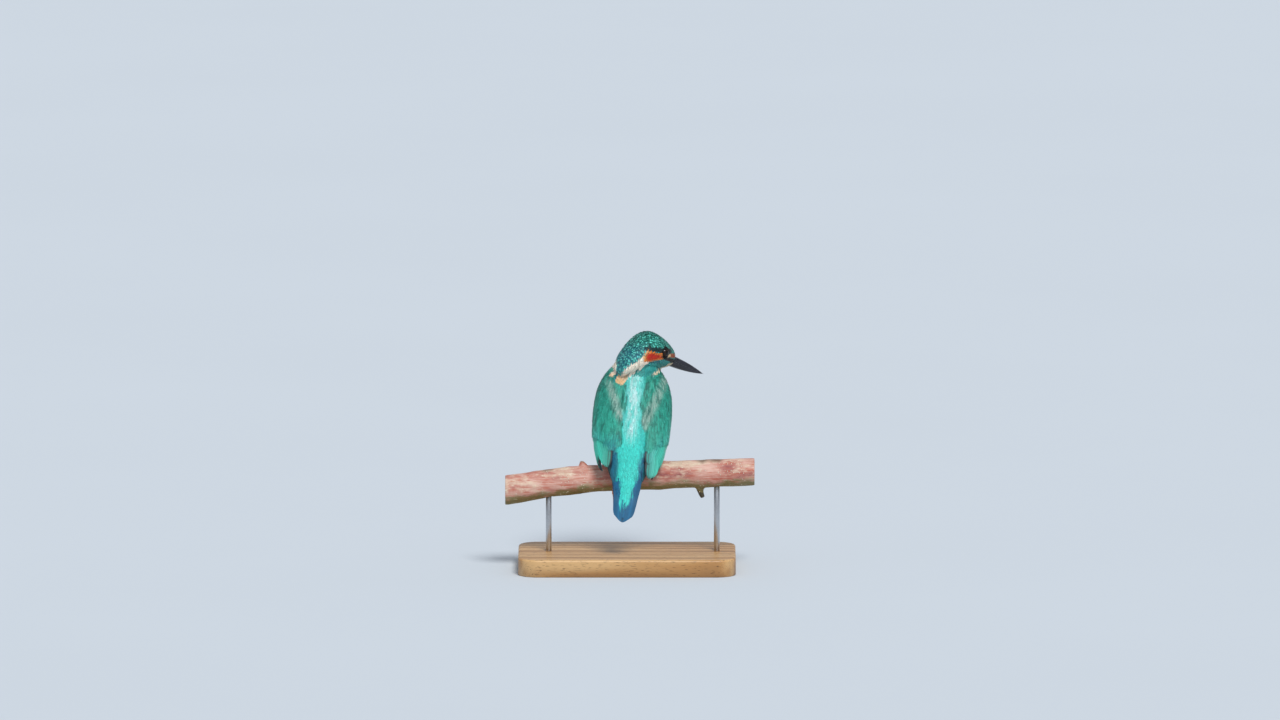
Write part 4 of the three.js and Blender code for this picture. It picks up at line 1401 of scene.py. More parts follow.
def skin_material():
    """Feathered skin: matt down in the plumage's own colours, darkened as painted shade, seen only between
    the vanes.
    """
    material, add, shade, place = new_material("down_on_skin")
    tint = add("ShaderNodeVertexColor", layer_name="tint")
    down = add("ShaderNodeTexNoise", {"Vector": place, "Scale": lumps(0.7), "Detail": 3.0})
    # The down is darkened to about six tenths of the plumage's colour as painted shade, since it lies under
    # the vanes; the noise gives its texture.
    down_in_shade = add("ShaderNodeMath", {0: down, 1: 0.5, 2: 0.35}, operation="MULTIPLY_ADD")
    colour = add("ShaderNodeVectorMath", {0: tint, "Scale": down_in_shade}, operation="SCALE")
    shade({"Base Color": colour, "Roughness": 0.85, "Specular IOR Level": 0.2})
    return material


def foot_material(colour):
    """Scaly foot skin: moist-looking coral keratin, darker in the creases between scales."""
    material, add, shade, place = new_material("foot_scale_skin")
    cells = add("ShaderNodeTexVoronoi", {"Vector": place, "Scale": lumps(0.53)}, feature="DISTANCE_TO_EDGE")
    ramp = add("ShaderNodeValToRGB", {"Fac": cells}, shades(colour, (0, 0.45), (0.12, 0.9), (0.5, 1.15)))
    bump = add("ShaderNodeBump", {"Strength": 0.5, "Distance": 0.12 * MM, "Height": cells})
    shade({"Base Color": ramp, "Normal": bump, "Roughness": 0.42})
    shade({"Subsurface Weight": 0.08, "Subsurface Radius": (0.6 * MM, 0.3 * MM, 0.2 * MM)})
    return material


def horn_material(name, dark, light, grain, roughness):
    """Horn: grown keratin, dark and glossy, with fine growth marks that are grain mm across."""
    material, add, shade, place = new_material(name)
    lines = add(
        "ShaderNodeTexNoise", {"Vector": place, "Scale": lumps(grain), "Detail": 4.0, "Roughness": 0.6}
    )
    mottle = add("ShaderNodeTexNoise", {"Vector": place, "Scale": lumps(9 * grain), "Detail": 2.0})
    both = add("ShaderNodeMath", {0: lines, 1: mottle}, operation="MULTIPLY")
    ramp = add("ShaderNodeValToRGB", {"Fac": both}, [(0.12, dark), (0.48, light)])
    bump = add("ShaderNodeBump", {"Strength": 0.18, "Distance": 0.05 * MM, "Height": lines})
    shade({"Base Color": ramp, "Normal": bump, "Roughness": roughness, "Specular IOR Level": 0.5})
    return material


EYE_SPAN = 60.0  # degrees off the gaze at which the eye's row of colours ends


def eye_material(iris, pupil, rim):
    """An eye: a wet cornea over a dark iris, so that it shows one sharp highlight."""
    material, add, shade, place = new_material("wet_cornea")
    polar = add("ShaderNodeAttribute", attribute_name="polar").outputs["Fac"]
    share = add("ShaderNodeMath", {0: polar, 1: EYE_SPAN}, operation="DIVIDE")
    stops = [(0.0, pupil), (0.40, pupil), (0.45, iris), (0.68, np.multiply(iris, 0.6)), (0.76, rim)]
    ramp = add("ShaderNodeValToRGB", {"Fac": share}, stops)
    rays = add("ShaderNodeTexNoise", {"Vector": place, "Scale": lumps(0.67), "Detail": 3.0})
    grain = add("ShaderNodeMath", {0: rays, 1: 0.6, 2: 0.7}, operation="MULTIPLY_ADD")
    colour = add("ShaderNodeVectorMath", {0: ramp, "Scale": grain}, operation="SCALE")
    shade({"Base Color": colour, "Roughness": 0.04, "IOR": 1.376})
    return material


def bark_material(look):
    """Dogwood bark: smooth and pinkish red with fine red streaks, flaking beige where it is old,
    and olive with algae along the under side."""
    material, add, shade, place = new_material("dogwood_bark")
    low = add("ShaderNodeAttribute", attribute_name="low").outputs["Fac"]
    drawn = add("ShaderNodeMapping", {"Vector": place, "Scale": (0.45, 1.0, 1.0)})
    thread = add("ShaderNodeMapping", {"Vector": place, "Scale": (0.06, 1.0, 1.0)})
    # The size of each pattern's lumps in millimetres, its detail and its roughness.
    blotch, patch, flake, grain, streak = (
        add("ShaderNodeTexNoise", {"Vector": way, "Scale": lumps(size), "Detail": fine, "Roughness": rough})
        for way, size, fine, rough in (
            (drawn, 9, 5.0, 0.62), (drawn, 16, 4.0, 0.55), (drawn, 4, 6.0, 0.72), (drawn, 1, 4.0, 0.6),
            (thread, 0.8, 3.0, 0.5),
        )
    )
    worn, mossy, crust, height = (
        add("ShaderNodeMath", {0: first, 1: share, 2: second}, operation="MULTIPLY_ADD")
        for first, share, second in (
            (flake, 1.0, patch), (flake, -1.6, low), (grain, 0.9, flake), (flake, 2.0, grain)
        )
    )
    stops = [(0.32, look.bark_dark), (0.47, look.bark), (0.62, look.bark_light)]
    colour = add("ShaderNodeValToRGB", {"Fac": blotch}, stops)
    layers = [
        (streak, 0.50, 0.66, 0.85, look.bark_streak),
        (worn, 0.95, 1.18, 0.85, look.bark_flake),
        (mossy, -1.02, -1.42, 0.85, look.bark_algae),
        (crust, 1.16, 1.24, 0.85, look.cork),
        (low, -0.96, -1.06, 0.85, look.bark_stub),
        (low, 1.05, 1.25, 0.85, look.bark_bud),
    ]
    colour, _ = layered(add, colour, layers)
    bump = add("ShaderNodeBump", {"Strength": 0.6, "Distance": 0.2 * MM, "Height": height})
    shade({"Base Color": colour, "Normal": bump, "Roughness": 0.66})
    return material


def sawn_material(look):
    """Sawn dogwood: cream end grain with narrow yearly rings, a brown pith and saw marks."""
    material, add, shade, place = new_material("sawn_dogwood")
    points, _ = node_arrays("perch")
    right, left = (points[np.abs(points[:, 0] - end[0]) < 0.5].mean(0) * MM for end in node_box("perch"))
    split = add("ShaderNodeSeparateXYZ", {"Vector": place}).outputs
    side = add("ShaderNodeMath", {0: split["X"], 1: 0.0}, operation="GREATER_THAN")
    # The left end's middle is moved onto the right end's, so that both show rings round a pith.
    drop = {0: side, 1: right[2] - left[2], 2: split["Z"]}
    height = add("ShaderNodeMath", drop, operation="MULTIPLY_ADD")
    flat = add("ShaderNodeCombineXYZ", {"X": 0.0, "Y": split["Y"], "Z": height})
    centred = add("ShaderNodeVectorMath", {0: flat, 1: (0.0, right[1], right[2])}, operation="SUBTRACT")
    reach = add("ShaderNodeVectorMath", {0: centred}, operation="LENGTH").outputs["Value"]
    wander = add("ShaderNodeTexNoise", {"Vector": place, "Scale": lumps(6), "Detail": 3.0})
    moved = add("ShaderNodeMath", {0: wander, 1: 1.2 * MM, 2: reach}, operation="MULTIPLY_ADD")
    # Rings 1.3 mm apart, and a pith 3 mm across.
    phase = add("ShaderNodeMath", {0: moved, 1: math.tau / (1.3 * MM)}, operation="MULTIPLY")
    ring = add("ShaderNodeMath", {0: phase}, operation="SINE")
    layers = [(ring, 0.2, 1.0, 1.0, look.wood_ring), (reach, 1.6 * MM, 1.1 * MM, 1.0, look.pith)]
    colour, _ = layered(add, with_alpha(look.wood), layers)
    bump = add("ShaderNodeBump", {"Strength": 0.3, "Distance": 0.1 * MM, "Height": ring})
    shade({"Base Color": colour, "Normal": bump, "Roughness": 0.75})
    return material


def oak_material(look):
    """Oiled oak: planed along the grain, with open pores and a low satin sheen."""
    material, add, shade, place = new_material("oiled_oak")
    grain = add("ShaderNodeMapping", {"Vector": place, "Scale": (0.07, 1.0, 0.6)})
    wander = add("ShaderNodeTexNoise", {"Vector": grain, "Scale": lumps(17), "Detail": 3.0})
    # Growth bands, which wander along the grain.
    wave = {"Vector": grain, "Scale": 28.0, "Distortion": 9.0, "Detail": 3.0, "Detail Scale": 1.6}
    bands = add("ShaderNodeTexWave", wave, wave_type="BANDS", bands_direction="Y").outputs["Fac"]
    mixed = add("ShaderNodeMath", {0: bands, 1: 0.55, 2: wander}, operation="MULTIPLY_ADD")
    stops = [(0.35, look.oak_dark), (0.65, look.oak), (1.0, look.oak_light)]
    wood = add("ShaderNodeValToRGB", {"Fac": mixed}, stops)
    # Pores 0.45 mm wide and 4 mm long.
    slim = add("ShaderNodeMapping", {"Vector": place, "Scale": (0.11, 1.0, 1.0)})
    pores = add("ShaderNodeTexNoise", {"Vector": slim, "Scale": lumps(0.45), "Detail": 2.0})
    colour, pits = layered(add, wood, [(pores, 0.60, 0.70, 1.0, look.oak_pore)])
    bump = add("ShaderNodeBump", {"Strength": 0.25, "Distance": 0.1 * MM, "Height": pits}, invert=True)
    shade({"Base Color": colour, "Normal": bump, "Roughness": 0.42})
    shade({"Coat Weight": 0.15, "Coat Roughness": 0.3})
    return material


def steel_material(look):
    """Brushed stainless steel: fine scratches round the rod blur its reflections."""
    material, add, shade, place = new_material("brushed_stainless_steel")
    turned = add("ShaderNodeMapping", {"Vector": place, "Scale": (1.0, 1.0, 14.0)})
    lines = add("ShaderNodeTexNoise", {"Vector": turned, "Scale": lumps(2.4), "Detail": 3.0})
    ramp = add("ShaderNodeValToRGB", {"Fac": lines}, shades(look.steel, (0.3, 0.82), (0.7, 1)))
    rough = add("ShaderNodeMapRange", {"Value": lines, "To Min": 0.24, "To Max": 0.42})
    shade({"Base Color": ramp, "Roughness": rough, "Metallic": 1.0})
    return material


def scale_material(colour):
    """Foot scales: the same keratin raised and polished, a little paler than the creases."""
    return mottled_material(
        "foot_scale_keratin", 1.4, shades(colour, (0.3, 0.75), (0.7, 1.2)), {"Roughness": 0.34}
    )


def lid_material(colour):
    """Eyelid skin: thin bare skin, finely creased, with a dull moist edge."""
    stops = shades(colour, (0.3, 0.5), (0.75, 1.8))
    dull = {"Roughness": 0.55, "Specular IOR Level": 0.3}
    return mottled_material("eyelid_skin", 0.4, stops, dull, bump=(0.5, 0.06))


def cork_material(look):
    """Lenticels: corky pores that stand pale and dry on the bark."""
    return mottled_material(
        "lenticel_cork", 0.6, shades(look.cork, (0.3, 0.55), (0.6, 1)), {"Roughness": 0.9}
    )


def paper_material(colour):
    """Studio paper: matt and even, with the faintest tooth."""
    matt = {"Roughness": 0.95, "Specular IOR Level": 0.1}
    return mottled_material("studio_paper", 330, shades(colour, (0.0, 0.97), (1.0, 1)), matt)


# ---- Stand ----
CHAMFER, ROD_AROUND = 0.3, 48


def turned_rod(node):
    """A steel rod with a small chamfer at each end, in the place of its node."""
    low, high = node_box(node)
    centre, radius = (low + high) / 2, (high[0] - low[0]) / 2
    profile = [(radius - CHAMFER, low[2]), (radius, low[2] + CHAMFER)]
    profile += [(radius, high[2] - CHAMFER), (radius - CHAMFER, high[2])]
    turn = whole_turn(ROD_AROUND)
    flat = np.stack([np.cos(turn), np.sin(turn)], axis=1)
    rings = [np.column_stack([centre[:2] + r * flat, np.full(ROD_AROUND, z)]) for r, z in profile]
    poles = [(centre[0], centre[1], z) for z in (low[2], high[2])]
    obj = rings_object(node.replace("stand_", "stand_steel_"), np.array(rings), poles)
    smooth_where(obj, lambda face: abs(face.normal.z) < 0.5)
    return obj


BASE_CORNER = 14.0  # the radius of the base's upright corners
CORNER_STEPS, EDGE_STEPS = 12, 6
FOOT_CHAMFER = 0.5  # round the base's lower edge


def base_block(bevel):
    """The oak base: a flat block with round corners and an eased upper edge."""
    low, high = node_box("stand_base")
    middle, half = (high + low) / 2, (high - low) / 2
    quarter = np.linspace(0, math.pi / 2, CORNER_STEPS + 1)
    corners, out = [], []
    for k, signs in enumerate(((1, 1), (-1, 1), (-1, -1), (1, -1))):
        angle = quarter + k * math.pi / 2
        out.append(np.stack([np.cos(angle), np.sin(angle)], axis=1))
        corners.append(np.multiply(signs, half[:2] - BASE_CORNER) + BASE_CORNER * out[-1])
    outline, out = np.vstack(corners), np.vstack(out)
    levels = [(low[2], FOOT_CHAMFER), (low[2] + FOOT_CHAMFER, 0.0)]
    for a in np.linspace(0, math.pi / 2, EDGE_STEPS + 1):
        levels.append((high[2] - bevel + bevel * math.sin(a), bevel - bevel * math.cos(a)))
    rings = []
    for level, step_in in levels:
        flat = outline - out * step_in + middle[:2]
        rings.append(np.column_stack([flat, np.full(len(flat), level)]))
    obj = rings_object("stand_oak_base", np.array(rings))
    smooth_where(obj, lambda face: len(face.vertices) == 4)
    return obj


# ---- Settings ----
def colour(name, code, description):
    return FloatVectorProperty(
        name=name, description=description, subtype="COLOR", size=3, min=0, max=1, default=linear(code)
    )


def number(name, description, default, **limits):
    return FloatProperty(name=name, description=description, default=default, **limits)


class KingfisherPlumage(bpy.types.PropertyGroup):
    """Colours of the plumage and the bare parts."""

    crown: colour("Crown", "#1d7a68", "Crown and nape, between the bars")
    crown_blue: colour("Crown side", "#136a90", "Sides of the crown and the nape")
    crown_shade: colour("Crown shade", "#0f5f59", "Dark ground of a crown feather")
    crown_bar: colour("Crown spot", "#6cf0d8", "Spot near a crown feather's tip")
    # Partly the crown's own dark edge and partly painted shade under the crown's feathers.
    crown_edge_shade: colour("Brow", "#0b2b2c", "Dark band over the eye and the ear patch")
    brow_black: colour("Eye surround", "#14100f", "Black feathers round the eye")
    ear: colour("Ear patch", "#c22a12", "Middle of the ear patch")
    ear_edge: colour("Ear patch edge", "#dd7f30", "Edge of the ear patch")
    lore: colour("Lore", "#a8532a", "Streak from the bill to the eye")
    lore_spot: colour("Lore spot", "#d9b98c", "Pale spot in front of the eye")
    malar: colour("Malar stripe", "#23918a", "Stripe from the bill down the neck")
    neck_patch: colour("Neck patch", "#fcebd6", "White patch on each side of the neck")
    patch_base: colour("Neck patch base", "#e0b27a", "Tan lower end of the neck patch")
    throat: colour("Throat", "#ead6b4", "Chin and throat")
    breast: colour("Breast", "#c8662a", "Breast and flanks")
    belly: colour("Belly", "#d98a4c", "Belly and under the tail")
    back: colour("Back", "#2fd0c2", "Bright stripe down back and rump")
    back_edge: colour("Back edge", "#25b3ac", "Edges of the bright stripe")
    # Partly the stripe's own paler blue and partly a painted highlight of the sun on the upper back.
    back_pale_highlight: colour("Back, pale", "#bfe6e4", "The stripe between the shoulders")
    rump_side: colour("Rump side", "#0f6088", "Deep blue sides of the rump")
    wing: colour("Wing", "#20927e", "Wing coverts and secondaries")
    wing_light: colour("Wing, light", "#36b49c", "Light streaks in the wing")
    wing_dark: colour("Wing, dark", "#175d54", "Dark streaks in the wing")
    wing_blue: colour("Wing, blue", "#2390a8", "Blue edges near the wing tip")
    wing_fringe: colour("Wing fringe", "#5fd6c4", "Outer fringes of the secondaries")
    # A painted sheen: the sun's grey highlight on the scapulars, given as colour.
    painted_sheen: colour("Scapular bloom", "#a9b8ae", "Grey bloom on the scapulars")
    flight: colour("Flight feathers", "#1b1f22", "Hidden webs and primaries")
    tail: colour("Tail", "#0d5f86", "Upper side of the tail")
    tail_side: colour("Tail side", "#104a6c", "Outer tail feathers")
    tail_under: colour("Under tail", "#39414a", "Under side of the tail feathers")
    foot: colour("Foot", "#c8452e", "Skin of the legs and toes")


class KingfisherBareParts(bpy.types.PropertyGroup):
    """Colours of the bill, the eyes and the claws."""

    bill_dark: colour("Bill", "#101116", "Black horn of the bill")
    # Greyer lines in the horn: partly its growth lines and partly a painted bluish sheen.
    bill_lines_sheen: colour("Bill sheen", "#343440", "Greyer growth lines of the bill")
    iris: colour("Iris", "#2c1a10", "Dark brown iris")
    pupil: colour("Pupil", "#030303", "Pupil")
    eye_rim: colour("Eye rim", "#0b0807", "Edge of the iris under the lids")
    lid: colour("Eyelid", "#0e0b0a", "Bare rim of the eye")
    claw_dark: colour("Claw", "#1a1412", "Horn of the claws")
    claw_light: colour("Claw base", "#4a342c", "Paler root of the claws")


class KingfisherSupport(bpy.types.PropertyGroup):
    """Colours and sizes of the branch and the stand."""

    bark: colour("Bark", "#bd8475", "Bark on the upper side")
    bark_dark: colour("Bark, dark", "#93504c", "Dark red of the young bark")
    bark_light: colour("Bark, light", "#d3ab9b", "Weathered bark")
    bark_streak: colour("Bark streaks", "#b1553c", "Fine orange-red streaks along the bark")
    bark_flake: colour("Bark flakes", "#d5bfa6", "Flaking beige patches")
    bark_algae: colour("Bark underside", "#6d6a35", "Olive growth on the under side")
    bark_stub: colour("Broken stub", "#2c261a", "Dark broken twig under the branch")
    bark_bud: colour("Bud", "#6e5a48", "Dry bud on the upper side")
    cork: colour("Lenticels", "#e2d3bd", "Pale corky pores")
    wood: colour("Sawn wood", "#e4c193", "End grain")
    wood_ring: colour("Yearly rings", "#b08d5c", "Rings in the end grain")
    pith: colour("Pith", "#6d4a2e", "Pith in the middle")
    oak: colour("Oak", "#b5854f", "Oiled oak of the base")
    oak_dark: colour("Oak, dark", "#8c5f33", "Dark growth bands")
    oak_light: colour("Oak, light", "#cfa671", "Light growth bands")
    oak_pore: colour("Oak pores", "#5f3f22", "Open pores")
    steel: colour("Steel", "#c9ccd0", "Rods")
    bevel: number(
        "Base edge", "Radius of the base's upper edge", 0.0016, unit="LENGTH", min=0.0002, max=0.004
    )
    lenticel_gap: number(
        "Lenticel spacing", "Least distance of two bark pores", 0.0021, unit="LENGTH", min=0.001, max=0.02
    )


class KingfisherStudio(bpy.types.PropertyGroup):
    """The camera, the floor and the light."""

    azimuth: number(
        "Azimuth", "Camera's place round the bird, with 180 behind it", math.radians(180), subtype="ANGLE"
    )
    elevation: number("Elevation", "How far the camera looks down", math.radians(8), subtype="ANGLE")
    lens: number("Lens", "Focal length", 500.0, unit="CAMERA")
    view_width: number("View width", "Width of the view at the bird", 0.8832, unit="LENGTH")
    aim: FloatVectorProperty(
        name="Aim",
        description="Middle of the view: along X, and up the view from the branch's middle",
        unit="LENGTH",
        size=2,
        default=(-0.009, 0.0804),
    )
    floor: colour("Floor", "#cdd4da", "Pale studio paper")
    world: colour("Sky fill", "#e6eefa", "Colour of the light from all round")
    world_strength: number("Fill strength", "Strength of the light all round", 0.5, min=0)
    key_strength: number("Key strength", "Strength of the light from above", 2.6, min=0)


# ---- Operators ----
def skin_piece(look):
    """The skin with the feet, and where and which way scales grow on them."""
    points, faces = skin_shape()
    obj = mesh_object("skin", points, faces)
    form = body_form()
    part = form.face_part[form.nearest(points)[2]]
    *to_legs, to_trunk = node_reach(["leg_left", "leg_right", "trunk"], points)
    foot = (np.min(to_legs, axis=0) < BARE_REACH) & (to_trunk > FEATHERED_REACH)
    colours, _ = plumage(points, np.where(foot, LEG, np.where(part == LEG, TRUNK, part)), look)
    put_colours(obj.data, "tint", colours)
    sole = foot[faces].all(1)
    obj.data.polygons.foreach_set("material_index", sole.astype(np.int32))
    # The scales are drawn out across the toes.
    normals = vertex_normals(points, faces)
    put_strewn(obj.data, foot * 1.0, across(np.tile([1.0, 0.0, 0.0], (len(points), 1)), normals))
    finished(obj, [skin_material(), foot_material(look.foot)], FLESH)
    return obj


COATS = {
    # Sizes, outline, spotted or not, material slot, seed, and degrees astray from the lie.
    "coat_face": (head_vanes, ROUND_VANE, True, "crown", 11, 5.0),
    "coat_crown": (head_vanes, ROUND_VANE, True, "crown", 12, 6.0),
    "coat_neck": (body_vanes, SOFT_VANE, True, "mantle", 13, 7.0),
    "coat_back": (body_vanes, SOFT_VANE, False, "mantle", 14, 5.0),
    "coat_breast": (body_vanes, SOFT_VANE, False, "mantle", 15, 8.0),
    "coat_belly": (body_vanes, SOFT_VANE, False, "mantle", 16, 8.0),
    "coat_wing_left": (wing_vanes, SOFT_VANE, True, "wing", 17, 4.0),
    "coat_wing_right": (wing_vanes, SOFT_VANE, True, "wing", 18, 4.0),
    "coat_tail": (tail_vanes, SOFT_VANE, False, "tail", 19, 3.0),
}
EYE_GAP = 0.15  # how far from an eye the roots of the feathers stay


def coat_faces(name, form):
    """Which of the form's faces carry the roots of one coat."""
    centres, part = form.points[form.triangles].mean(1), form.face_part
    forward = in_head(centres)[:, 0]
    left, along, back = in_tail(centres).T
    angle, up = round_body(centres)
    under = np.abs(angle) >= 72
    covert = up > 32 - 5 * ease(60 - np.abs(angle), 0, 25)
    wanted = {
        "coat_face": (part == HEAD) & (forward > 2.0),
        "coat_crown": (part == HEAD) & (forward <= 2.0),
        "coat_neck": part == NECK,
        "coat_back": (part == TRUNK) & ~under,
        "coat_breast": (part == TRUNK) & under & (up > 40),
        "coat_belly": (part == TRUNK) & under & (up <= 40),
        "coat_wing_left": (part == WING_LEFT) & covert,
        "coat_wing_right": (part == WING_RIGHT) & covert,
        "coat_tail": (part == TAIL) & (along < np.where(back > -1.5, 20 - 0.9 * np.abs(left), 14)),
    }[name]
    for side in SIDES:
        centre, radius = eye_ball(side)
        wanted &= np.linalg.norm(centres - centre, axis=1) > radius + EYE_GAP
    return wanted


def coat_piece(name, context):
    """One coat of small feathers, rooted on its own part of the form."""
    form = body_form()
    vanes, outline, spotted, slot, seed, stray = COATS[name]
    gap, *_ = vanes(form.points[form.triangles].mean(1), form.face_part)
    roots, normals, part = scattered(form, coat_faces(name, form), gap, seed)
    _, *sizes = vanes(roots, part)
    paint = functools.partial(vane_colours, context.scene.kingfisher_plumage, spotted)
    obj = vane_coat(name, form, roots, normals, part, sizes, outline, paint, seed, stray)
    finished(obj, [feather_material()])


SENSOR_WIDTH = 36.0  # mm, as the lens is
NEAR, FAR = 0.1, 200.0  # m, what the camera sees between
FLOOR_REACH = 60_000.0
KEY_SOFTNESS = math.radians(22)
KEY_TILT = (math.radians(-38), math.radians(-14), 0)


class KINGFISHER_OT_studio(bpy.types.Operator):
    """Add the camera, the pale floor and the soft light"""

    bl_idname = "kingfisher.studio"
    bl_label = "Studio"

    def execute(self, context):
        studio = context.scene.kingfisher_studio
        round_bird, rise = studio.azimuth, studio.elevation
        flat = math.cos(rise)
        back = Vector((math.sin(round_bird) * flat, -math.cos(round_bird) * flat, math.sin(rise)))
        up = (Vector((0, 0, 1)) - back * back.z).normalized()
        centre = Vector((studio.aim[0], 0, perch_axis_height() * MM)) + up * studio.aim[1]
        data = bpy.data.cameras.new("camera")
        data.lens = studio.lens
        data.sensor_width = SENSOR_WIDTH
        distance = studio.view_width * data.lens / data.sensor_width
        data.clip_start, data.clip_end = NEAR, FAR
        camera = bpy.data.objects.new("camera", data)
        camera.location = centre + back * distance
        camera.rotation_euler = (-back).to_track_quat("-Z", "Y").to_euler()
        context.scene.collection.objects.link(camera)
        context.scene.camera = camera

        corners = np.multiply([(-1, -1, 0), (1, -1, 0), (1, 1, 0), (-1, 1, 0)], FLOOR_REACH)
        floor = mesh_object("studio_floor", corners, [(0, 1, 2, 3)], smooth=False)
        floor.data.materials.append(paper_material(studio.floor))

        key = bpy.data.lights.new("key", "SUN")
        key.energy = studio.key_strength
        key.angle = KEY_SOFTNESS
        lamp = bpy.data.objects.new("key", key)
        lamp.rotation_euler = KEY_TILT
        context.scene.collection.objects.link(lamp)

        world = bpy.data.worlds.new("studio")
        world.use_nodes = True
        world.node_tree.nodes.clear()
        fill = {"Color": with_alpha(studio.world), "Strength": studio.world_strength}
        sky = add_node(world.node_tree, "ShaderNodeBackground", fill)
        add_node(world.node_tree, "ShaderNodeOutputWorld", {"Surface": sky})
        context.scene.world = world
        context.scene.view_settings.view_transform = "Standard"
        return {"FINISHED"}


class KINGFISHER_OT_skin(bpy.types.Operator):
    """Add the one skin under the plumage and over the feet, and the scales of the feet"""

    bl_idname = "kingfisher.skin"
    bl_label = "Skin and feet"

    def execute(self, context):
        look = context.scene.kingfisher_plumage
        skin = skin_piece(look)
        tree = strewn_tree("foot_scales", scale_material(look.foot), 0.75, 1.2)
        sizes = {"Spacing": 0.48, "Length": 0.78, "Width": 0.5, "Height": 0.16, "Seed": 5}
        scales = strewn("foot_scales", skin, tree, sizes)
        finished(scales, [])
        return {"FINISHED"}


class KINGFISHER_OT_head_coat(bpy.types.Operator):
    """Add the small barred feathers of the face, the crown and the nape"""

    bl_idname = "kingfisher.head_coat"
    bl_label = "Head plumage"

    def execute(self, context):
        for name in ("coat_face", "coat_crown"):
            coat_piece(name, context)
        return {"FINISHED"}


class KINGFISHER_OT_body_coat(bpy.types.Operator):
    """Add the feathers of the neck, the back, the breast and the belly"""

    bl_idname = "kingfisher.body_coat"
    bl_label = "Body plumage"

    def execute(self, context):
        for name in ("coat_neck", "coat_back", "coat_breast", "coat_belly"):
            coat_piece(name, context)
        return {"FINISHED"}


class KINGFISHER_OT_wing_coat(bpy.types.Operator):
    """Add the coverts and scapulars, and the flight feathers of both folded wings"""

    bl_idname = "kingfisher.wing_coat"
    bl_label = "Wing plumage"

    def execute(self, context):
        look = context.scene.kingfisher_plumage
        for side in SIDES:
            coat_piece(f"coat_wing_{side}", context)
            finished(wing_feathers(side, look), [feather_material()])
        return {"FINISHED"}


class KINGFISHER_OT_tail_coat(bpy.types.Operator):
    """Add the twelve tail feathers and the coverts over and under their roots"""

    bl_idname = "kingfisher.tail_coat"
    bl_label = "Tail plumage"

    def execute(self, context):
        look = context.scene.kingfisher_plumage
        coat_piece("coat_tail", context)
        finished(tail_feathers(look), [feather_material()])
        return {"FINISHED"}


class KINGFISHER_OT_bill(bpy.types.Operator):
    """Add the two halves of the bill"""

    bl_idname = "kingfisher.bill"
    bl_label = "Bill"

    def execute(self, context):
        bare = context.scene.kingfisher_bare
        # The bill's greyer lines are partly growth lines and partly a painted bluish sheen.
        horn = horn_material("bill_horn", bare.bill_dark, bare.bill_lines_sheen, 0.5, 0.3)
        for name, side, nostril in (("bill_upper", 1, (21.2, 3.4, -0.8)), ("bill_lower", -1, None)):
            finished(mandible(name, side, nostril), [horn], [name])
        return {"FINISHED"}


class KINGFISHER_OT_eyes(bpy.types.Operator):
    """Add the eyes and their lids"""

    bl_idname = "kingfisher.eyes"
    bl_label = "Eyes and lids"

    def execute(self, context):
        bare = context.scene.kingfisher_bare
        wet = eye_material(bare.iris, bare.pupil, bare.eye_rim)
        rim = lid_material(bare.lid)
        for side in SIDES:
            finished(eyeball(side), [wet], [f"eye_{side}"])
            finished(lids(side), [rim])
        return {"FINISHED"}


class KINGFISHER_OT_claws(bpy.types.Operator):
    """Add the claws of both feet"""

    bl_idname = "kingfisher.claws"
    bl_label = "Claws"

    def execute(self, context):
        bare = context.scene.kingfisher_bare
        horn = horn_material("claw_horn", bare.claw_dark, bare.claw_light, 0.3, 0.3)
        for side in SIDES:
            nodes = [f"claw_{side}_{toe}" for toe in ("inner", "middle", "outer", "hind")]
            obj = joined(f"claws_{side}", [node_arrays(node) for node in nodes])
            rounded = obj.modifiers.new("rounded", "SUBSURF")
            rounded.levels = rounded.render_levels = 2
            finished(applied(obj), [horn], nodes)
        return {"FINISHED"}


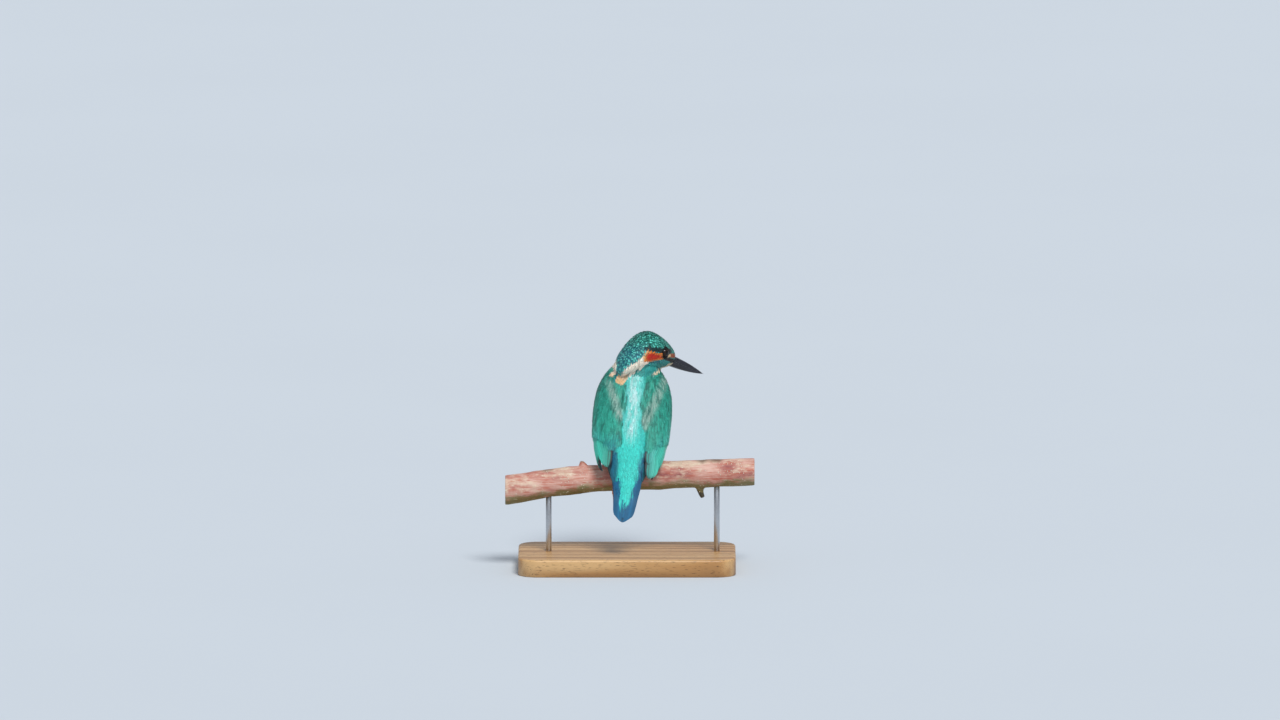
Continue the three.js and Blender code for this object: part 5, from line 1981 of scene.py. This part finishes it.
class KINGFISHER_OT_branch(bpy.types.Operator):
    """Add the bark, the sawn ends and the pores of the branch"""

    bl_idname = "kingfisher.branch"
    bl_label = "Branch"

    def execute(self, context):
        support = context.scene.kingfisher_support
        obj = branch()
        points, faces = arrays(obj.data)
        normals = vertex_normals(points, faces)
        bark = np.abs(normals[:, 0]) < 0.6
        clumps = ease(noise(points, 7, 21) + 0.5 * noise(points, 3, 22), -0.1, 0.7)
        density = bark * (0.3 + 0.7 * ease(normals[:, 2], -0.6, 0.2)) * clumps
        way = across(np.tile([0.0, 1.0, 0.35], (len(points), 1)), normals)
        put_strewn(obj.data, density, way)
        tree = strewn_tree("lenticels", cork_material(support), 0.35, 1.3)
        sizes = {
            "Spacing": support.lenticel_gap / MM, "Length": 1.15, "Width": 0.6, "Height": 0.3, "Seed": 9
        }
        pores = strewn("branch_lenticels", obj, tree, sizes)
        finished(obj, [bark_material(support), sawn_material(support)], ["perch"])
        finished(pores, [])
        return {"FINISHED"}


class KINGFISHER_OT_stand(bpy.types.Operator):
    """Add the oak base and the two steel rods"""

    bl_idname = "kingfisher.stand"
    bl_label = "Display stand"

    def execute(self, context):
        support = context.scene.kingfisher_support
        base = base_block(support.bevel / MM)
        finished(base, [oak_material(support)], ["stand_base"])
        steel = steel_material(support)
        for side in SIDES:
            node = f"stand_rod_{side}"
            finished(turned_rod(node), [steel], [node])
        return {"FINISHED"}


OPERATORS = (
    KINGFISHER_OT_studio,
    KINGFISHER_OT_skin,
    KINGFISHER_OT_head_coat,
    KINGFISHER_OT_body_coat,
    KINGFISHER_OT_wing_coat,
    KINGFISHER_OT_tail_coat,
    KINGFISHER_OT_bill,
    KINGFISHER_OT_eyes,
    KINGFISHER_OT_claws,
    KINGFISHER_OT_branch,
    KINGFISHER_OT_stand,
)
GROUPS = {
    "kingfisher_plumage": KingfisherPlumage,
    "kingfisher_bare": KingfisherBareParts,
    "kingfisher_support": KingfisherSupport,
    "kingfisher_studio": KingfisherStudio,
}


class KINGFISHER_PT_pieces(bpy.types.Panel):
    """Lists the pieces and the settings"""

    bl_idname = "KINGFISHER_PT_pieces"
    bl_label = "Kingfisher"
    bl_space_type = "VIEW_3D"
    bl_region_type = "UI"
    bl_category = "Kingfisher"

    def draw(self, context):
        for operator in OPERATORS:
            self.layout.operator(operator.bl_idname)
        for name, group in GROUPS.items():
            box = self.layout.box()
            for setting in group.__annotations__:
                box.prop(getattr(context.scene, name), setting)


CLASSES = (*GROUPS.values(), *OPERATORS, KINGFISHER_PT_pieces)


def register():
    for cls in CLASSES:
        bpy.utils.register_class(cls)
    for name, group in GROUPS.items():
        setattr(bpy.types.Scene, name, PointerProperty(type=group))


def unregister():
    for name in GROUPS:
        delattr(bpy.types.Scene, name)
    for cls in reversed(CLASSES):
        bpy.utils.unregister_class(cls)


def main():
    register()
    for operator in OPERATORS:
        getattr(bpy.ops.kingfisher, operator.bl_idname.split(".")[1])()


if __name__ == "__main__":
    main()
